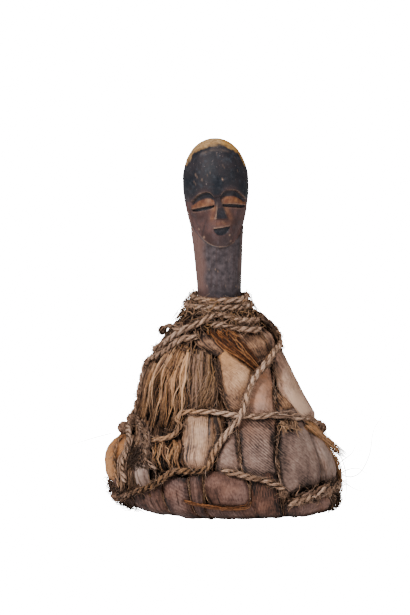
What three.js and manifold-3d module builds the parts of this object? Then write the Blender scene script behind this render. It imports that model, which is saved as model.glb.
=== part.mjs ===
// A carved wooden head on a long neck, set in a bundle of dry leaf sheaths bound with twisted rope.
// Millimetres, +Z up, the front face looks along -Y, the origin is the middle of the underside.

import * as THREE from 'three';
import { ConvexGeometry } from 'three/addons/geometries/ConvexGeometry.js';
import { mergeVertices } from 'three/addons/utils/BufferGeometryUtils.js';
import Module from 'manifold-3d';

const wasm = await Module();
wasm.setup();

const DEGREE = Math.PI / 180;
const WELD_DISTANCE = 1e-4;

// Bundle: height and outer radius, height and sideways place of its middle
const BUNDLE_RADIUS = [
  [0, 105], [9, 114], [30, 119.5], [56, 116], [80, 100], [106, 87],
  [140, 75], [167, 62], [190, 48], [213, 31], [226, 27],
];
const BUNDLE_MIDDLE = [[0, 12], [12, 4], [36, 0], [60, -2], [90, 3], [145, -4], [226, -3]];
const PLAN_POWER = 2.4;
const PLAN_DEPTH = 0.93;

// Layers, as distances out from that radius
const CORE_LIFT = [[0, -9.3], [185, -9.3], [198, -2.8]];
const SHEATH_BACK = -7.6;
const SHEATH_RIM = -5;
const SHEATH_CROWN = -1.4;
const ROPE_LIFT = 2.9;
const CORD_LIFT = 1.2;

// Sheath facets: the height of one row, the fewest rows, and the facets across
const SHEATH_ROW = 17;
const FEWEST_ROWS = 3;
const SHEATH_COLUMNS = 3;

// Rope and cord thickness, the length of one straight step, and the sides of the section
const ROPE = { radius: 3.3, step: 18, sides: 5 };
const CORD = { radius: 1.7, step: 17, sides: 4 };
const HAIR = { radius: 0.7, step: 12, sides: 3 };
const FEWEST_STEPS = 2;
const KNOT_DETAIL = 1;

// Packed inner sheaths: heights of the rings, and the clearance round the neck set in them
const CORE_HEIGHTS = [0, 5, 14, 30, 46, 60, 78, 100, 122, 144, 164, 184, 198, 214];
const CORE_SEGMENTS = 25;
const SOCKET_GAP = 0.4;

// Head: its turn towards +X, its lean towards -X, and the foot of its axis
const HEAD_TURN = 8;
const HEAD_LEAN = 2;
const NECK_FOOT = [-0.8, 0, 168];
const HEAD_SEGMENTS = 26;

// Head sections in its own frame: height over the neck's foot, half width, half depth
const NECK_SECTIONS = [
  [0, 21.5, 21.5], [48, 22.6, 23], [74, 24, 24.5], [100, 25.6, 25.8], [122, 27.5, 27], [134, 27, 26.5],
];
const JAW_SECTIONS = [
  [102.5, 8, 21], [104.5, 14, 26.5], [110, 19.5, 29.3], [119, 24, 30.8], [129, 28.2, 32],
  [140, 30.9, 33.5], [154, 33.2, 36.2], [168, 34.6, 38],
];
const CROWN_HEIGHT = 52;
const CROWN_SHARES = [0.25, 0.48, 0.7, 0.86, 0.96];

// Carving on a face, as places across the face and heights over the neck's foot
const FACE_DEPTH = 1.3;
const SOCKET_DEPTH = 2.4;
const SLIT_DEPTH = 3.8;
const MOUTH_DEPTH = 4;
const LEFT_BROW = [[-29, 154], [-23, 161.5], [-16, 164.5], [-11, 163.5], [-7.5, 159.5]];
const RIGHT_BROW = [[-0.5, 160], [2.5, 164], [8, 166], [18.5, 164], [29.5, 153.5]];
const LEFT_SLIT = [[-29.5, 145.5], [-19, 149], [-8, 151]];
const RIGHT_SLIT = [[2, 152], [15.5, 151], [30, 147.5]];
const SLIT_HEIGHT = 3;
const SLIT_END = 0.5;
const MOUTH = { left: -8, right: 8.5, top: 126.5, bottom: 118, steps: 6 };
const JAW_LINE = [
  [-31, 144], [-27, 128], [-19, 115], [-9, 108], [0, 106.5], [9, 107.5], [19, 114], [27, 128], [31, 144],
];
const CUT_START = 4;
const CUT_LENGTH = 60;

// Nose wedge: its narrow top and its wide tip, and how far it is rooted behind the face
const NOSE_TOP = { height: 158, middle: -3, width: 3.5, out: 0.6 };
const NOSE_TIP = { height: 135.5, middle: 0, width: 12.5, out: 4.6 };
const NOSE_ROOT = 5;
const NOSE_TAPER = 0.9;

// Upper row of leaf sheaths on the front: height, left angle and right angle from the top down
const FRONT_SHEATHS = {
  sheath_fanned_left: [[166, -26, -9], [146, -26.5, -6], [114, -26, -3.5]],
  sheath_polished_left: [[104, -27.5, -9.5], [82, -27, -7], [58, -19, -7]],
  sheath_strip_left: [[104, -8.5, -4], [84, -6.5, -3], [66, -6, -4.5]],
  sheath_tan_middle: [[167, 1, 8], [150, 0.5, 26.5], [130, 2, 19], [113, 4, 11]],
  sheath_ribbed_middle: [
    [148, 38.5, 47], [133, 24, 45], [112, 15, 38], [100, 10, 34.5], [80, 9, 30.5], [50, 12.5, 28.5],
  ],
  sheath_wedge_middle: [[95, 4, 6.5], [84, 0, 7.5], [58, -2.5, 10]],
  sheath_grey_right: [[104, 40, 57], [88, 36, 61], [60, 31.5, 60], [32, 31.5, 55]],
  sheath_smooth_right: [[178, 74, 102], [150, 62, 104], [124, 54, 104], [95, 67, 108]],
  sheath_edge_right: [[88, 65, 78], [70, 64, 80], [44, 62, 82], [24, 60, 80]],
  sheath_frayed_corner: [[126, 43.5, 47], [108, 41, 56]],
  sheath_dark_shoulder: [[182, 20, 64], [166, 30, 66], [150, 39.5, 56]],
  sheath_small_left: [[62, -46.5, -39.5], [44, -46.5, -39], [29, -44.5, -38]],
  sheath_bulging_left: [[68, -98, -84], [50, -101.5, -82], [36, -100, -84]],
};
const PROUD_CROWNS = { sheath_bulging_left: 2.5, sheath_smooth_right: 3, sheath_edge_right: 0 };

// Upper row round the back: first and last angle, number, heights, and the gaps between them
const BACK_SHEATHS = {
  from: 109, to: 256, count: 7, top: 183, bottom: 30, stagger: 9, endGap: 3.2, middleGap: 1.9,
};

// Lower row: sheath ends folded in under the base
const FRONT_FOLDS = {
  fold_front_1: [[26, -49, -31.5], [6, -49, -31.5]],
  fold_front_2: [[34, -29.5, -17.5], [3, -30, -17.5]],
  fold_front_3: [[45, -16, -10], [3, -16, -12]],
  fold_front_oval: [[47, -8, 12], [32, -8.5, 13], [17, -6, 11.5]],
  fold_front_under: [[14, -10.5, 13.5], [3, -10.5, 13.5]],
  fold_front_4: [[46, 15, 28], [3, 15, 28.5]],
  fold_front_5: [[15, 30.5, 74], [3, 30.5, 74]],
};
const BACK_FOLDS = {
  from: 80, to: 308, count: 7, top: 27, bottom: 3, stagger: 5, endGap: 2.2, middleGap: 1.3,
};

// Pale tip and orange fibres on the shoulder, the fibres lying over the sheaths
const SHOULDER_TIP = [[184, -26, -13], [178, -25, -3], [169, -9, 6]];
const ORANGE_FIBRES = [[188, -12, 14], [174, 4.5, 23], [161, 20.5, 31], [149, 30.5, 36.5]];
const OVERLAY = { back: -0.8, rim: 0.4, crown: 1.6 };

// Hanging fringe on the left in tiers, each with its number of locks
const FRINGES = {
  fringe_upper_left: {
    locks: 6,
    stations: [[174, -48, -30], [152, -58, -29.5], [122, -61, -28.5], [92, -52, -33]],
  },
  fringe_lower_left: { locks: 3, stations: [[76, -38, -26.5], [54, -32, -21.5]] },
  fringe_side_left: { locks: 4, stations: [[150, -80, -62], [124, -84, -64], [98, -83, -67]] },
};
const FRINGE_CROWN = -4;
const FRINGE_RIB = 2.6;
const FRINGE_RAGGED = 9;

// Rope routes: angle, height, and what a crossing adds to the rope's distance out
const OVER = 9.4;
const ROPES = {
  rope_neck: [
    [-165, 220, -1.5], [-90, 220, -1.5], [0, 218, -1], [90, 220, -1], [150, 217],
    [200, 213], [260, 211], [340, 211.5], [420, 211.5], [500, 210.5],
  ],
  rope_shoulder: [
    [66, 197.5], [35, 198.5], [2.5, 205], [-12.5, 203], [-31.5, 193.5], [-47, 187],
    [-62, 175], [-84, 165], [-112, 160], [-150, 164], [-185, 172], [-222, 178],
  ],
  rope_shoulder_low: [[56, 188.5], [44, 189], [23, 191.5], [4, 195.5], [-10, 193.5]],
  rope_left_edge: [
    [-22, 184], [-38, 180.5], [-50, 171], [-60, 161.5], [-74, 157], [-88, 148], [-90, 128], [-90, 108],
    [-88, 92], [-78, 84], [-68, 80.5], [-62, 76], [-57, 70], [-53.5, 61], [-52, 50], [-50, 36],
  ],
  rope_belt: [
    [-43.5, 79.5], [-38.5, 81.5], [-33.5, 84.5], [-30, 90.5], [-28.5, 97], [-31, 103],
    [-26.5, 109], [-15.5, 110.5], [-1.5, 109.5], [20.5, 105.5], [32, 106], [43, 103.5], [59, 98],
    [75, 89.5], [90, 80], [106, 79], [140, 88], [180, 94], [220, 88], [250, 80], [262, 77],
  ],
  rope_diagonal: [
    [84, 195, 5], [90, 189, 8], [90, 181, 9], [85, 174, 7], [73, 169.5, 5], [57, 166.5, 3], [39.5, 156, 4],
    [29, 146.5, 3], [20.5, 130], [16, 120, 4], [13, 113.5, OVER], [11, 107.5, OVER], [8.5, 102, 5],
    [-0.5, 87], [-4, 74], [-6, 59.5], [-10, 55], [-16.5, 54.5], [-22.5, 53.5], [-27.5, 46.5],
    [-32.5, 38.5], [-39.5, 32.5], [-46.5, 25.5, 2], [-59.5, 17], [-75, 12], [-95, 11], [-116, 15],
  ],
  rope_low_middle: [[0.5, 56], [8.5, 51.5], [15.5, 47.5], [23, 42], [29.5, 34.5]],
  rope_base: [
    [31, 19], [35.5, 20], [42.5, 23], [52.5, 27.5], [61, 26], [75, 22],
    [100, 20], [135, 24], [170, 21], [205, 25], [232, 23],
  ],
  rope_net_1: [[-76, 97], [-60, 90], [-51, 83.5], [-45, 74], [-39.5, 63], [-32, 53.5]],
  rope_net_2: [[-80, 72], [-70, 64], [-64, 55], [-60, 42], [-58, 28]],
  rope_back_cross_1: [
    [142, 160], [150, 140], [156, 120, 3], [163, 98, OVER], [168, 84, OVER], [176, 60], [184, 36],
  ],
  rope_back_cross_2: [
    [232, 156], [224, 130], [216, 104, 4], [212, 92, OVER], [209, 82, OVER], [200, 58], [194, 38],
  ],
};
const CORDS = {
  cord_gap_right: [[36, 97], [31, 72.5], [29.5, 44]],
  cord_gap_middle: [[8, 87], [11, 61]],
  cord_left_middle: [[-16.5, 171], [-8, 163], [-3.5, 150], [-1.5, 141.5], [0.5, 127.5], [2.5, 116.5]],
  cord_right_middle: [[57, 160], [49.5, 145.5], [44, 131.5], [40, 120.5], [38.5, 113]],
};

// Knots tied in a rope: angle, height, distance out, and half lengths across, out and up
const KNOTS = {
  rope_diagonal: [[83, 195, 5, 5.5, 5, 4.5], [90, 185, 9, 5, 5, 5.5], [-66, 15, 4.4, 8, 5.5, 5]],
  rope_low_middle: [[29, 29.5, 3.6, 4.5, 4, 4.5]],
  rope_base: [[47, 24.5, 4, 14, 4.8, 5.8]],
};

// A rope end that stands off the left shoulder
const FREE_ENDS = {
  rope_shoulder: [[-45, 187.5, 3], [-58, 191, 4.5], [-72, 190, 6], [-82, 184.5, 8]],
};

// Torn strips of sheath that stand off the right edge, from the top down to the free tip
const FRAYED_STRIPS = [
  [[82, 74], [87, 64, 4], [91, 50, 10]],
  [[86, 73], [91, 54, 5], [92, 32, 9]],
  [[84, 68], [84, 47, 4], [88, 29, 8]],
];
const STRIP = { halfWidth: 4.5, halfThickness: 1.2, lift: 1, steps: 5, narrowing: 0.85, thinning: 0.6 };

// Long loose fibres: root on the bundle, then points in space
const LEFT_HAIR = [[-117, -6, 74], [-132, -8, 70.5], [-150, -8, 65], [-166, -8, 60.5]];
const RIGHT_HAIRS = [
  [[126, 4, 43], [131.5, 3, 26], [146, 2, 26], [158, 0, 50], [160, -2, 78], [169, -2, 92]],
  [[123, 0, 56], [131, -4, 32], [132, -6, 12], [131, -6, 2.5]],
];

const WOOD = { color: '#3d3034', roughness: 0.55 };
const INNER_SHEATH = { color: '#3a281e', roughness: 0.9 };
const LEAF_SHEATH = { color: '#9b7b6b', roughness: 0.75 };
const FOLDED_SHEATH = { color: '#7d5a4c', roughness: 0.85 };
const FIBRE = { color: '#a0743f', roughness: 0.85 };
const TWISTED_ROPE = { color: '#8f6f58', roughness: 0.9 };

// A smooth curve through a table's points, read at one place
function readTable(table, place) {
  const last = table.length - 1;
  if (place <= table[0][0]) return table[0][1];
  if (place >= table[last][0]) return table[last][1];
  const next = table.findIndex(([key]) => key > place);
  const slope = (index) => {
    const before = table[Math.max(0, index - 1)];
    const after = table[Math.min(last, index + 1)];
    return (after[1] - before[1]) / (after[0] - before[0]);
  };
  const [start, startValue] = table[next - 1];
  const [end, endValue] = table[next];
  const span = end - start;
  const t = (place - start) / span;
  const rise = startValue * (1 + 2 * t) * (1 - t) ** 2 + endValue * t * t * (3 - 2 * t);
  return rise + span * (slope(next - 1) * t * (1 - t) ** 2 - slope(next) * t * t * (1 - t));
}

// A point on the bundle: angle 0 is the front, 90 is +X, lift is the distance out from the surface
function bundlePoint(angle, height, lift) {
  const sine = Math.sin(angle * DEGREE);
  const cosine = Math.cos(angle * DEGREE);
  const corner = Math.abs(sine) ** PLAN_POWER + Math.abs(cosine) ** PLAN_POWER;
  const radius = (readTable(BUNDLE_RADIUS, height) + lift) * corner ** (-1 / PLAN_POWER);
  const x = readTable(BUNDLE_MIDDLE, height) + radius * sine;
  return new THREE.Vector3(x, -radius * cosine * PLAN_DEPTH, height);
}

// A closed geometry from vertices and triangles
function closedGeometry(vertices, triangles) {
  const numbers = vertices.flatMap((vertex) => vertex.toArray());
  const geometry = new THREE.BufferGeometry();
  geometry.setAttribute('position', new THREE.Float32BufferAttribute(numbers, 3));
  geometry.setIndex(triangles.flat());
  return geometry;
}

// Rings of vertices joined into a closed skin, with a fan over each end
function ringSkin(rings) {
  const count = rings[0].length;
  const vertices = rings.flat();
  const triangles = [];
  for (let ring = 0; ring < rings.length - 1; ring += 1) {
    for (let step = 0; step < count; step += 1) {
      const a = ring * count + step;
      const b = ring * count + (step + 1) % count;
      triangles.push([a, b, b + count], [a, b + count, a + count]);
    }
  }
  const middle = (ring) => ring.reduce((sum, v) => sum.add(v), new THREE.Vector3()).divideScalar(count);
  const bottom = vertices.push(middle(rings[0])) - 1;
  const top = vertices.push(middle(rings[rings.length - 1])) - 1;
  const lastRing = (rings.length - 1) * count;
  for (let step = 0; step < count; step += 1) {
    const next = (step + 1) % count;
    triangles.push([bottom, next, step], [top, lastRing + step, lastRing + next]);
  }
  return closedGeometry(vertices, triangles);
}

function toSolid(geometry) {
  const bare = geometry.clone();
  bare.deleteAttribute('normal');
  bare.deleteAttribute('uv');
  const welded = mergeVertices(bare, WELD_DISTANCE);
  const vertProperties = new Float32Array(welded.attributes.position.array);
  const triVerts = new Uint32Array(welded.index.array);
  return new wasm.Manifold(new wasm.Mesh({ numProp: 3, vertProperties, triVerts }));
}

function toGeometry(solid) {
  const mesh = solid.getMesh();
  const geometry = new THREE.BufferGeometry();
  geometry.setAttribute('position', new THREE.BufferAttribute(mesh.vertProperties, 3));
  geometry.setIndex(new THREE.BufferAttribute(mesh.triVerts, 1));
  return geometry;
}

function joined(geometries) {
  return toGeometry(geometries.map(toSolid).reduce((sum, solid) => sum.add(solid)));
}

// A hump over 0 to 1: nothing at both ends and 1 in the middle
function hump(t) {
  return 4 * t * (1 - t);
}

// One curved leaf sheath that lies on the bundle: stations of height, left and right angle
function sheathGeometry(stations, options = {}) {
  const { back = SHEATH_BACK, rim = SHEATH_RIM, crown = SHEATH_CROWN } = options;
  const { columns = SHEATH_COLUMNS, ribs = 0, rib = 0, ragged = 0 } = options;
  const span = stations[0][0] - stations[stations.length - 1][0];
  const rows = Math.max(FEWEST_ROWS, Math.round(span / SHEATH_ROW));
  const column = (index) => stations.map((station, row) => [row / (stations.length - 1), station[index]]);
  const [heights, lefts, rights] = [column(0), column(1), column(2)];
  const vertices = [];
  for (const face of ['outer', 'inner']) {
    for (let row = 0; row <= rows; row += 1) {
      const v = row / rows;
      for (let step = 0; step <= columns; step += 1) {
        const u = step / columns;
        const angle = readTable(lefts, v) * (1 - u) + readTable(rights, v) * u;
        const uneven = ragged * v ** 3 * (step % 2);
        const ridge = rib * Math.abs(Math.sin(Math.PI * ribs * u));
        const outer = rim + (crown - rim) * Math.sqrt(hump(u) * hump(v)) + ridge;
        const lift = face === 'inner' ? back : outer;
        vertices.push(bundlePoint(angle, readTable(heights, v) + uneven, lift));
      }
    }
  }
  const across = columns + 1;
  const sheet = across * (rows + 1);
  const triangles = [];
  const quad = (a, b, c, d) => triangles.push([a, b, c], [a, c, d]);
  for (let row = 0; row < rows; row += 1) {
    for (let step = 0; step < columns; step += 1) {
      const a = row * across + step;
      quad(a, a + across, a + across + 1, a + 1);
      quad(sheet + a, sheet + a + 1, sheet + a + across + 1, sheet + a + across);
    }
    const left = row * across;
    const right = left + columns;
    quad(left, sheet + left, sheet + left + across, left + across);
    quad(right, right + across, sheet + right + across, sheet + right);
  }
  for (let step = 0; step < columns; step += 1) {
    const low = rows * across + step;
    quad(step, step + 1, sheet + step + 1, sheet + step);
    quad(low, sheet + low, sheet + low + 1, low + 1);
  }
  return closedGeometry(vertices, triangles);
}

// A rope's middle line over the bundle, smooth through its hand-laid points
class BundleCurve extends THREE.Curve {
  constructor(route, lift) {
    super();
    const points = route.map(([angle, height, extra = 0]) => new THREE.Vector3(angle, height, lift + extra));
    this.path = new THREE.CatmullRomCurve3(points, false, 'centripetal');
  }

  getPoint(t, target = new THREE.Vector3()) {
    const { x: angle, y: height, z: lift } = this.path.getPoint(t);
    return target.copy(bundlePoint(angle, height, lift));
  }
}

function tubeGeometry(curve, { radius, step, sides }) {
  const section = new THREE.Shape();
  for (let side = 0; side < sides; side += 1) {
    const turn = side * 2 * Math.PI / sides;
    const move = side === 0 ? 'moveTo' : 'lineTo';
    section[move](radius * Math.cos(turn), radius * Math.sin(turn));
  }
  const steps = Math.max(FEWEST_STEPS, Math.round(curve.getLength() / step));
  return new THREE.ExtrudeGeometry(section, { steps, extrudePath: curve, bevelEnabled: false });
}

function knotGeometry([angle, height, lift, across, out, up]) {
  const ball = new THREE.IcosahedronGeometry(1, KNOT_DETAIL);
  ball.scale(across, out, up);
  ball.rotateZ(angle * DEGREE);
  const { x, y, z } = bundlePoint(angle, height, lift);
  ball.translate(x, y, z);
  return ball;
}

// Head in its own frame: elliptical rings up its axis, each drawn in by an inset
function headRings(sections, inset) {
  return sections.map(([height, halfWidth, halfDepth]) => {
    const ring = [];
    for (let step = 0; step < HEAD_SEGMENTS; step += 1) {
      const turn = step * 2 * Math.PI / HEAD_SEGMENTS;
      const x = (halfWidth - inset) * Math.cos(turn);
      const y = (halfDepth - inset) * Math.sin(turn);
      ring.push(new THREE.Vector3(x, y, height));
    }
    return ring;
  });
}

function skullSections() {
  const [temple, halfWidth, halfDepth] = JAW_SECTIONS[JAW_SECTIONS.length - 1];
  const crown = CROWN_SHARES.map((share) => {
    const left = Math.sqrt(1 - share * share);
    return [temple + CROWN_HEIGHT * share, halfWidth * left, halfDepth * left];
  });
  return [...JAW_SECTIONS, ...crown];
}

function headForm(inset) {
  const neck = toSolid(ringSkin(headRings(NECK_SECTIONS, inset)));
  const skull = toSolid(ringSkin(headRings(skullSections(), inset)));
  return neck.add(skull);
}

// A straight cutter through the face, from an outline in the face's plane
function faceCutter(outline) {
  const shape = new THREE.Shape(outline.map(([x, height]) => new THREE.Vector2(x, height)));
  const block = new THREE.ExtrudeGeometry(shape, { depth: CUT_LENGTH, bevelEnabled: false });
  block.rotateX(90 * DEGREE);
  block.translate(0, -CUT_START, 0);
  return toSolid(block);
}

function slitOutline(line) {
  const lower = line.map(([x, height], index) => [x, height - (index === 1 ? SLIT_HEIGHT : SLIT_END)]);
  return [...lower, ...[...line].reverse()];
}

function socketOutline(brow, slit) {
  return [...slit, ...[...brow].reverse()];
}

function mouthOutline() {
  const { left, right, top, bottom, steps } = MOUTH;
  const outline = [];
  for (let step = 0; step <= steps; step += 1) {
    const turn = Math.PI * (1 + step / steps);
    const x = (left + right) / 2 + (right - left) / 2 * Math.cos(turn);
    outline.push([x, top + (top - bottom) * Math.sin(turn)]);
  }
  return outline;
}

function faceOutline() {
  return [...JAW_LINE, ...[...RIGHT_BROW].reverse(), ...[...LEFT_BROW].reverse()];
}

function noseGeometry() {
  const depths = JAW_SECTIONS.map(([height, , halfDepth]) => [height, halfDepth]);
  const corners = [NOSE_TOP, NOSE_TIP].flatMap(({ height, middle, width, out }) => {
    const surface = readTable(depths, height) - FACE_DEPTH;
    return [-0.5, 0.5].flatMap((side) => {
      const x = middle + width * side;
      const ridge = new THREE.Vector3(x * NOSE_TAPER, -(surface + out), height);
      const root = new THREE.Vector3(x, -(surface - NOSE_ROOT), height);
      return [ridge, root];
    });
  });
  return new ConvexGeometry(corners);
}

function carvedFace(form) {
  const cut = (solid, outline, depth) => solid.subtract(faceCutter(outline).subtract(headForm(depth)));
  let face = cut(form, faceOutline(), FACE_DEPTH);
  face = cut(face, socketOutline(LEFT_BROW, LEFT_SLIT), SOCKET_DEPTH);
  face = cut(face, socketOutline(RIGHT_BROW, RIGHT_SLIT), SOCKET_DEPTH);
  face = cut(face, slitOutline(LEFT_SLIT), SLIT_DEPTH);
  face = cut(face, slitOutline(RIGHT_SLIT), SLIT_DEPTH);
  face = cut(face, mouthOutline(), MOUTH_DEPTH);
  return face.add(toSolid(noseGeometry()));
}

// Both faces are cut the same way, the second with the head turned about; loose chips are dropped
function headGeometry() {
  const oneFace = carvedFace(headForm(0));
  const bothFaces = carvedFace(oneFace.rotate([0, 0, 180]));
  const [largest] = bothFaces.decompose().sort((a, b) => b.volume() - a.volume());
  return toGeometry(largest);
}

function placeHead(object) {
  object.position.set(...NECK_FOOT);
  object.rotation.set(0, -HEAD_LEAN * DEGREE, HEAD_TURN * DEGREE, 'YXZ');
  return object;
}

// The packed inner sheaths, with the socket that the neck stands in
function coreGeometry() {
  const rings = CORE_HEIGHTS.map((height) => {
    const ring = [];
    for (let step = 0; step < CORE_SEGMENTS; step += 1) {
      ring.push(bundlePoint(step * 360 / CORE_SEGMENTS, height, readTable(CORE_LIFT, height)));
    }
    return ring;
  });
  const holder = placeHead(new THREE.Object3D());
  holder.updateMatrixWorld();
  const neck = ringSkin(headRings(NECK_SECTIONS, -SOCKET_GAP));
  neck.translate(0, 0, -SOCKET_GAP);
  neck.applyMatrix4(holder.matrixWorld);
  return toGeometry(toSolid(ringSkin(rings)).subtract(toSolid(neck)));
}

// One torn strip: a flat tapering band from the bundle out to its free tip
function stripGeometry(points) {
  const curve = new BundleCurve(points, STRIP.lift);
  const rings = [];
  for (let step = 0; step <= STRIP.steps; step += 1) {
    const t = step / STRIP.steps;
    const middle = curve.getPoint(t);
    const outward = new THREE.Vector3(middle.x, middle.y, 0).normalize();
    const across = new THREE.Vector3().crossVectors(outward, curve.getTangent(t)).normalize();
    const half = STRIP.halfWidth * (1 - STRIP.narrowing * t);
    const deep = STRIP.halfThickness * (1 - STRIP.thinning * t);
    const corner = (side, face) => middle.clone()
      .addScaledVector(across, side * half)
      .addScaledVector(outward, face * deep);
    rings.push([corner(-1, -1), corner(1, -1), corner(1, 1), corner(-1, 1)]);
  }
  return ringSkin(rings);
}

function hairGeometry(points) {
  const curve = new THREE.CatmullRomCurve3(points.map((point) => new THREE.Vector3(...point)));
  return tubeGeometry(curve, HAIR);
}

const model = new THREE.Group();

function addMesh(name, geometry, finish) {
  const mesh = new THREE.Mesh(geometry, new THREE.MeshStandardMaterial({ ...finish, metalness: 0 }));
  mesh.name = name;
  model.add(mesh);
  return mesh;
}

// A row of like sheaths side by side, every other one set in from both ends
function addRow(prefix, row, finish) {
  const { from, to, count, top, bottom, stagger, endGap, middleGap } = row;
  const pitch = (to - from) / count;
  for (let index = 0; index < count; index += 1) {
    const left = from + pitch * index;
    const right = left + pitch;
    const setIn = stagger * (index % 2);
    const stations = [
      [top - setIn, left + endGap, right - endGap],
      [(top + bottom) / 2, left + middleGap, right - middleGap],
      [bottom + setIn, left + endGap, right - endGap],
    ];
    addMesh(`${prefix}_${index + 1}`, sheathGeometry(stations), finish);
  }
}

placeHead(addMesh('head_and_neck', headGeometry(), WOOD));
addMesh('packed_inner_sheaths', coreGeometry(), INNER_SHEATH);

for (const [name, stations] of Object.entries(FRONT_SHEATHS)) {
  const crown = PROUD_CROWNS[name] ?? SHEATH_CROWN;
  addMesh(name, sheathGeometry(stations, { crown }), LEAF_SHEATH);
}
addRow('sheath_back', BACK_SHEATHS, LEAF_SHEATH);

for (const [name, stations] of Object.entries(FRONT_FOLDS)) {
  addMesh(name, sheathGeometry(stations), FOLDED_SHEATH);
}
addRow('fold_back', BACK_FOLDS, FOLDED_SHEATH);

addMesh('sheath_tip_shoulder', sheathGeometry(SHOULDER_TIP), LEAF_SHEATH);
addMesh('orange_fibres', sheathGeometry(ORANGE_FIBRES, OVERLAY), FIBRE);

for (const [name, { locks, stations }] of Object.entries(FRINGES)) {
  const hanging = { rib: FRINGE_RIB, ragged: FRINGE_RAGGED, crown: FRINGE_CROWN };
  addMesh(name, sheathGeometry(stations, { ...hanging, ribs: locks, columns: locks * 2 }), FIBRE);
}

const ropeTube = (route) => tubeGeometry(new BundleCurve(route, ROPE_LIFT), ROPE);
for (const [name, route] of Object.entries(ROPES)) {
  const ends = FREE_ENDS[name] ? [ropeTube(FREE_ENDS[name])] : [];
  const knots = (KNOTS[name] ?? []).map(knotGeometry);
  addMesh(name, joined([ropeTube(route), ...ends, ...knots]), TWISTED_ROPE);
}
for (const [name, route] of Object.entries(CORDS)) {
  addMesh(name, tubeGeometry(new BundleCurve(route, CORD_LIFT), CORD), TWISTED_ROPE);
}

const tornEdge = [...FRAYED_STRIPS.map(stripGeometry), ...RIGHT_HAIRS.map(hairGeometry)];
addMesh('frayed_strips_right', joined(tornEdge), FIBRE);
addMesh('hair_left', hairGeometry(LEFT_HAIR), FIBRE);

export default model;
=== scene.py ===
# The looks of a wrapped head figure: a carved wooden head in a bound bundle of dry leaf sheaths.
# Blender works in metres, and the sizes here are in millimetres, times MM. The front face looks along -Y.
import itertools
import math

import bpy
import numpy as np
from mathutils import Matrix, Vector, kdtree


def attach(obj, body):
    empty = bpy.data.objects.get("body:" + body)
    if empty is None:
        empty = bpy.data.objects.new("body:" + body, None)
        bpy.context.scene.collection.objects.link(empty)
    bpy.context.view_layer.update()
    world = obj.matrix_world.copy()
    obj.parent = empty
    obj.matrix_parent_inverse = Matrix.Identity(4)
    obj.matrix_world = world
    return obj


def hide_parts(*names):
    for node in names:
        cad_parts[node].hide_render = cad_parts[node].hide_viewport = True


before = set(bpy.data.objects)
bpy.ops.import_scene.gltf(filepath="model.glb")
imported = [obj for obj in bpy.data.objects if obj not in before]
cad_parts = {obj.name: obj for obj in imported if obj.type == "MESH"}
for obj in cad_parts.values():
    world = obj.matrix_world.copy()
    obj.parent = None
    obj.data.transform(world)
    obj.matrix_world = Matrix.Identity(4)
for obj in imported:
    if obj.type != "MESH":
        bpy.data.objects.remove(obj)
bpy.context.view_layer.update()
MM = 0.001
dice = np.random.default_rng(7)

# Carved head and neck
# One piece of dark stained hardwood, cut with an adze and a knife, a face on each side.
# The cuts are painted black, red ochre and yellow ochre, and their edges are worn pale, with painted
# highlights along the edges and painted shade in the hollows.
HEAD_TURN = math.radians(8)
HEAD_LEAN = math.radians(2)
NECK_FOOT = (-0.8, 0, 168)
NECK_SECTIONS = [
    (0, 21.5, 21.5), (48, 22.6, 23), (74, 24, 24.5), (100, 25.6, 25.8), (122, 27.5, 27), (134, 27, 26.5),
]
JAW_SECTIONS = [
    (102.5, 8, 21), (104.5, 14, 26.5), (110, 19.5, 29.3), (119, 24, 30.8), (129, 28.2, 32),
    (140, 30.9, 33.5), (154, 33.2, 36.2), (168, 34.6, 38),
]
CHIN = 102.5
TEMPLE = 168
CROWN_HEIGHT = 49.6
CROWN_POWER = 2.15
LEFT_BROW = [(-29, 154), (-23, 161.5), (-16, 164.5), (-11, 163.5), (-7.5, 159.5)]
RIGHT_BROW = [(-0.5, 160), (2.5, 164), (8, 166), (18.5, 164), (29.5, 153.5)]
LEFT_LID = [(-29.5, 145.5), (-19, 149), (-8, 151)]
RIGHT_LID = [(2, 152), (15.5, 151), (30, 147.5)]
JAW_LINE = [
    (-31, 144), (-27, 128), (-19, 115), (-9, 108), (0, 106.5), (9, 107.5), (19, 114), (27, 128), (31, 144),
]
CHEEK_CUT = [(113, -19.5), (122, -19), (136, -15.5)]
SLIT_OPENING = 3.9
FACE_DEPTH = 1.3
BROW_DEPTH = 3.6
LID_DEPTH = 0.8
SLIT_DEPTH = 3.8
MOUTH_DEPTH = 3.4
MOUTH = {"middle": 0.9, "half": 9.4, "top": 126.8, "slope": 0.1, "drop": 8.4}
NOSE_TOP = {"height": 158, "middle": -2.4, "half": 1.9, "out": 0.4}
NOSE_TIP = {"height": 136, "middle": 0.6, "half": 6.8, "out": 4.6}
NOSE_FRONT = 148.5
OCHRE_LINE = [
    (-31, 191), (-28.4, 196), (-21.7, 205), (-12, 209.5), (-2, 211.5), (8.5, 210), (17, 206), (24, 198),
    (28, 190),
]
# Pale spots, each a place and a size: partly chips through the paint, partly painted glints on the chin's
# edge.
CHIPS_AND_GLINTS = [
    (-22.5, 125, 0.8), (-18, 116.5, 1.1), (9.5, 118.5, 1.0), (10.5, 111.8, 1.0), (-6.2, 137, 1.0),
    (2, 178, 0.7),
]
JAW_WEAR_AND_HIGHLIGHT_TOP = 124
JAW_SHADOW_TOP = 134
NOSE_WEAR_AND_HIGHLIGHT_TOP = 139
NOSE_BLUSH_TOP = 152
CHEEK_START = 113
CHEEK_END = 138
CHEEK_DEPTH = 0.35
SCRATCH_COUNT = 16
SCRATCH_HALF = 26
FOREHEAD = (168, 204)
NECK_FRONT = (55, 100)
HEAD_COLUMNS = 290
HEAD_ROWS = 172
CROWN_SHARE = 0.18
FACE_SHARE = 0.8
NECK_SHARE = 0.97
BURIED_HEIGHT = 42


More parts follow.
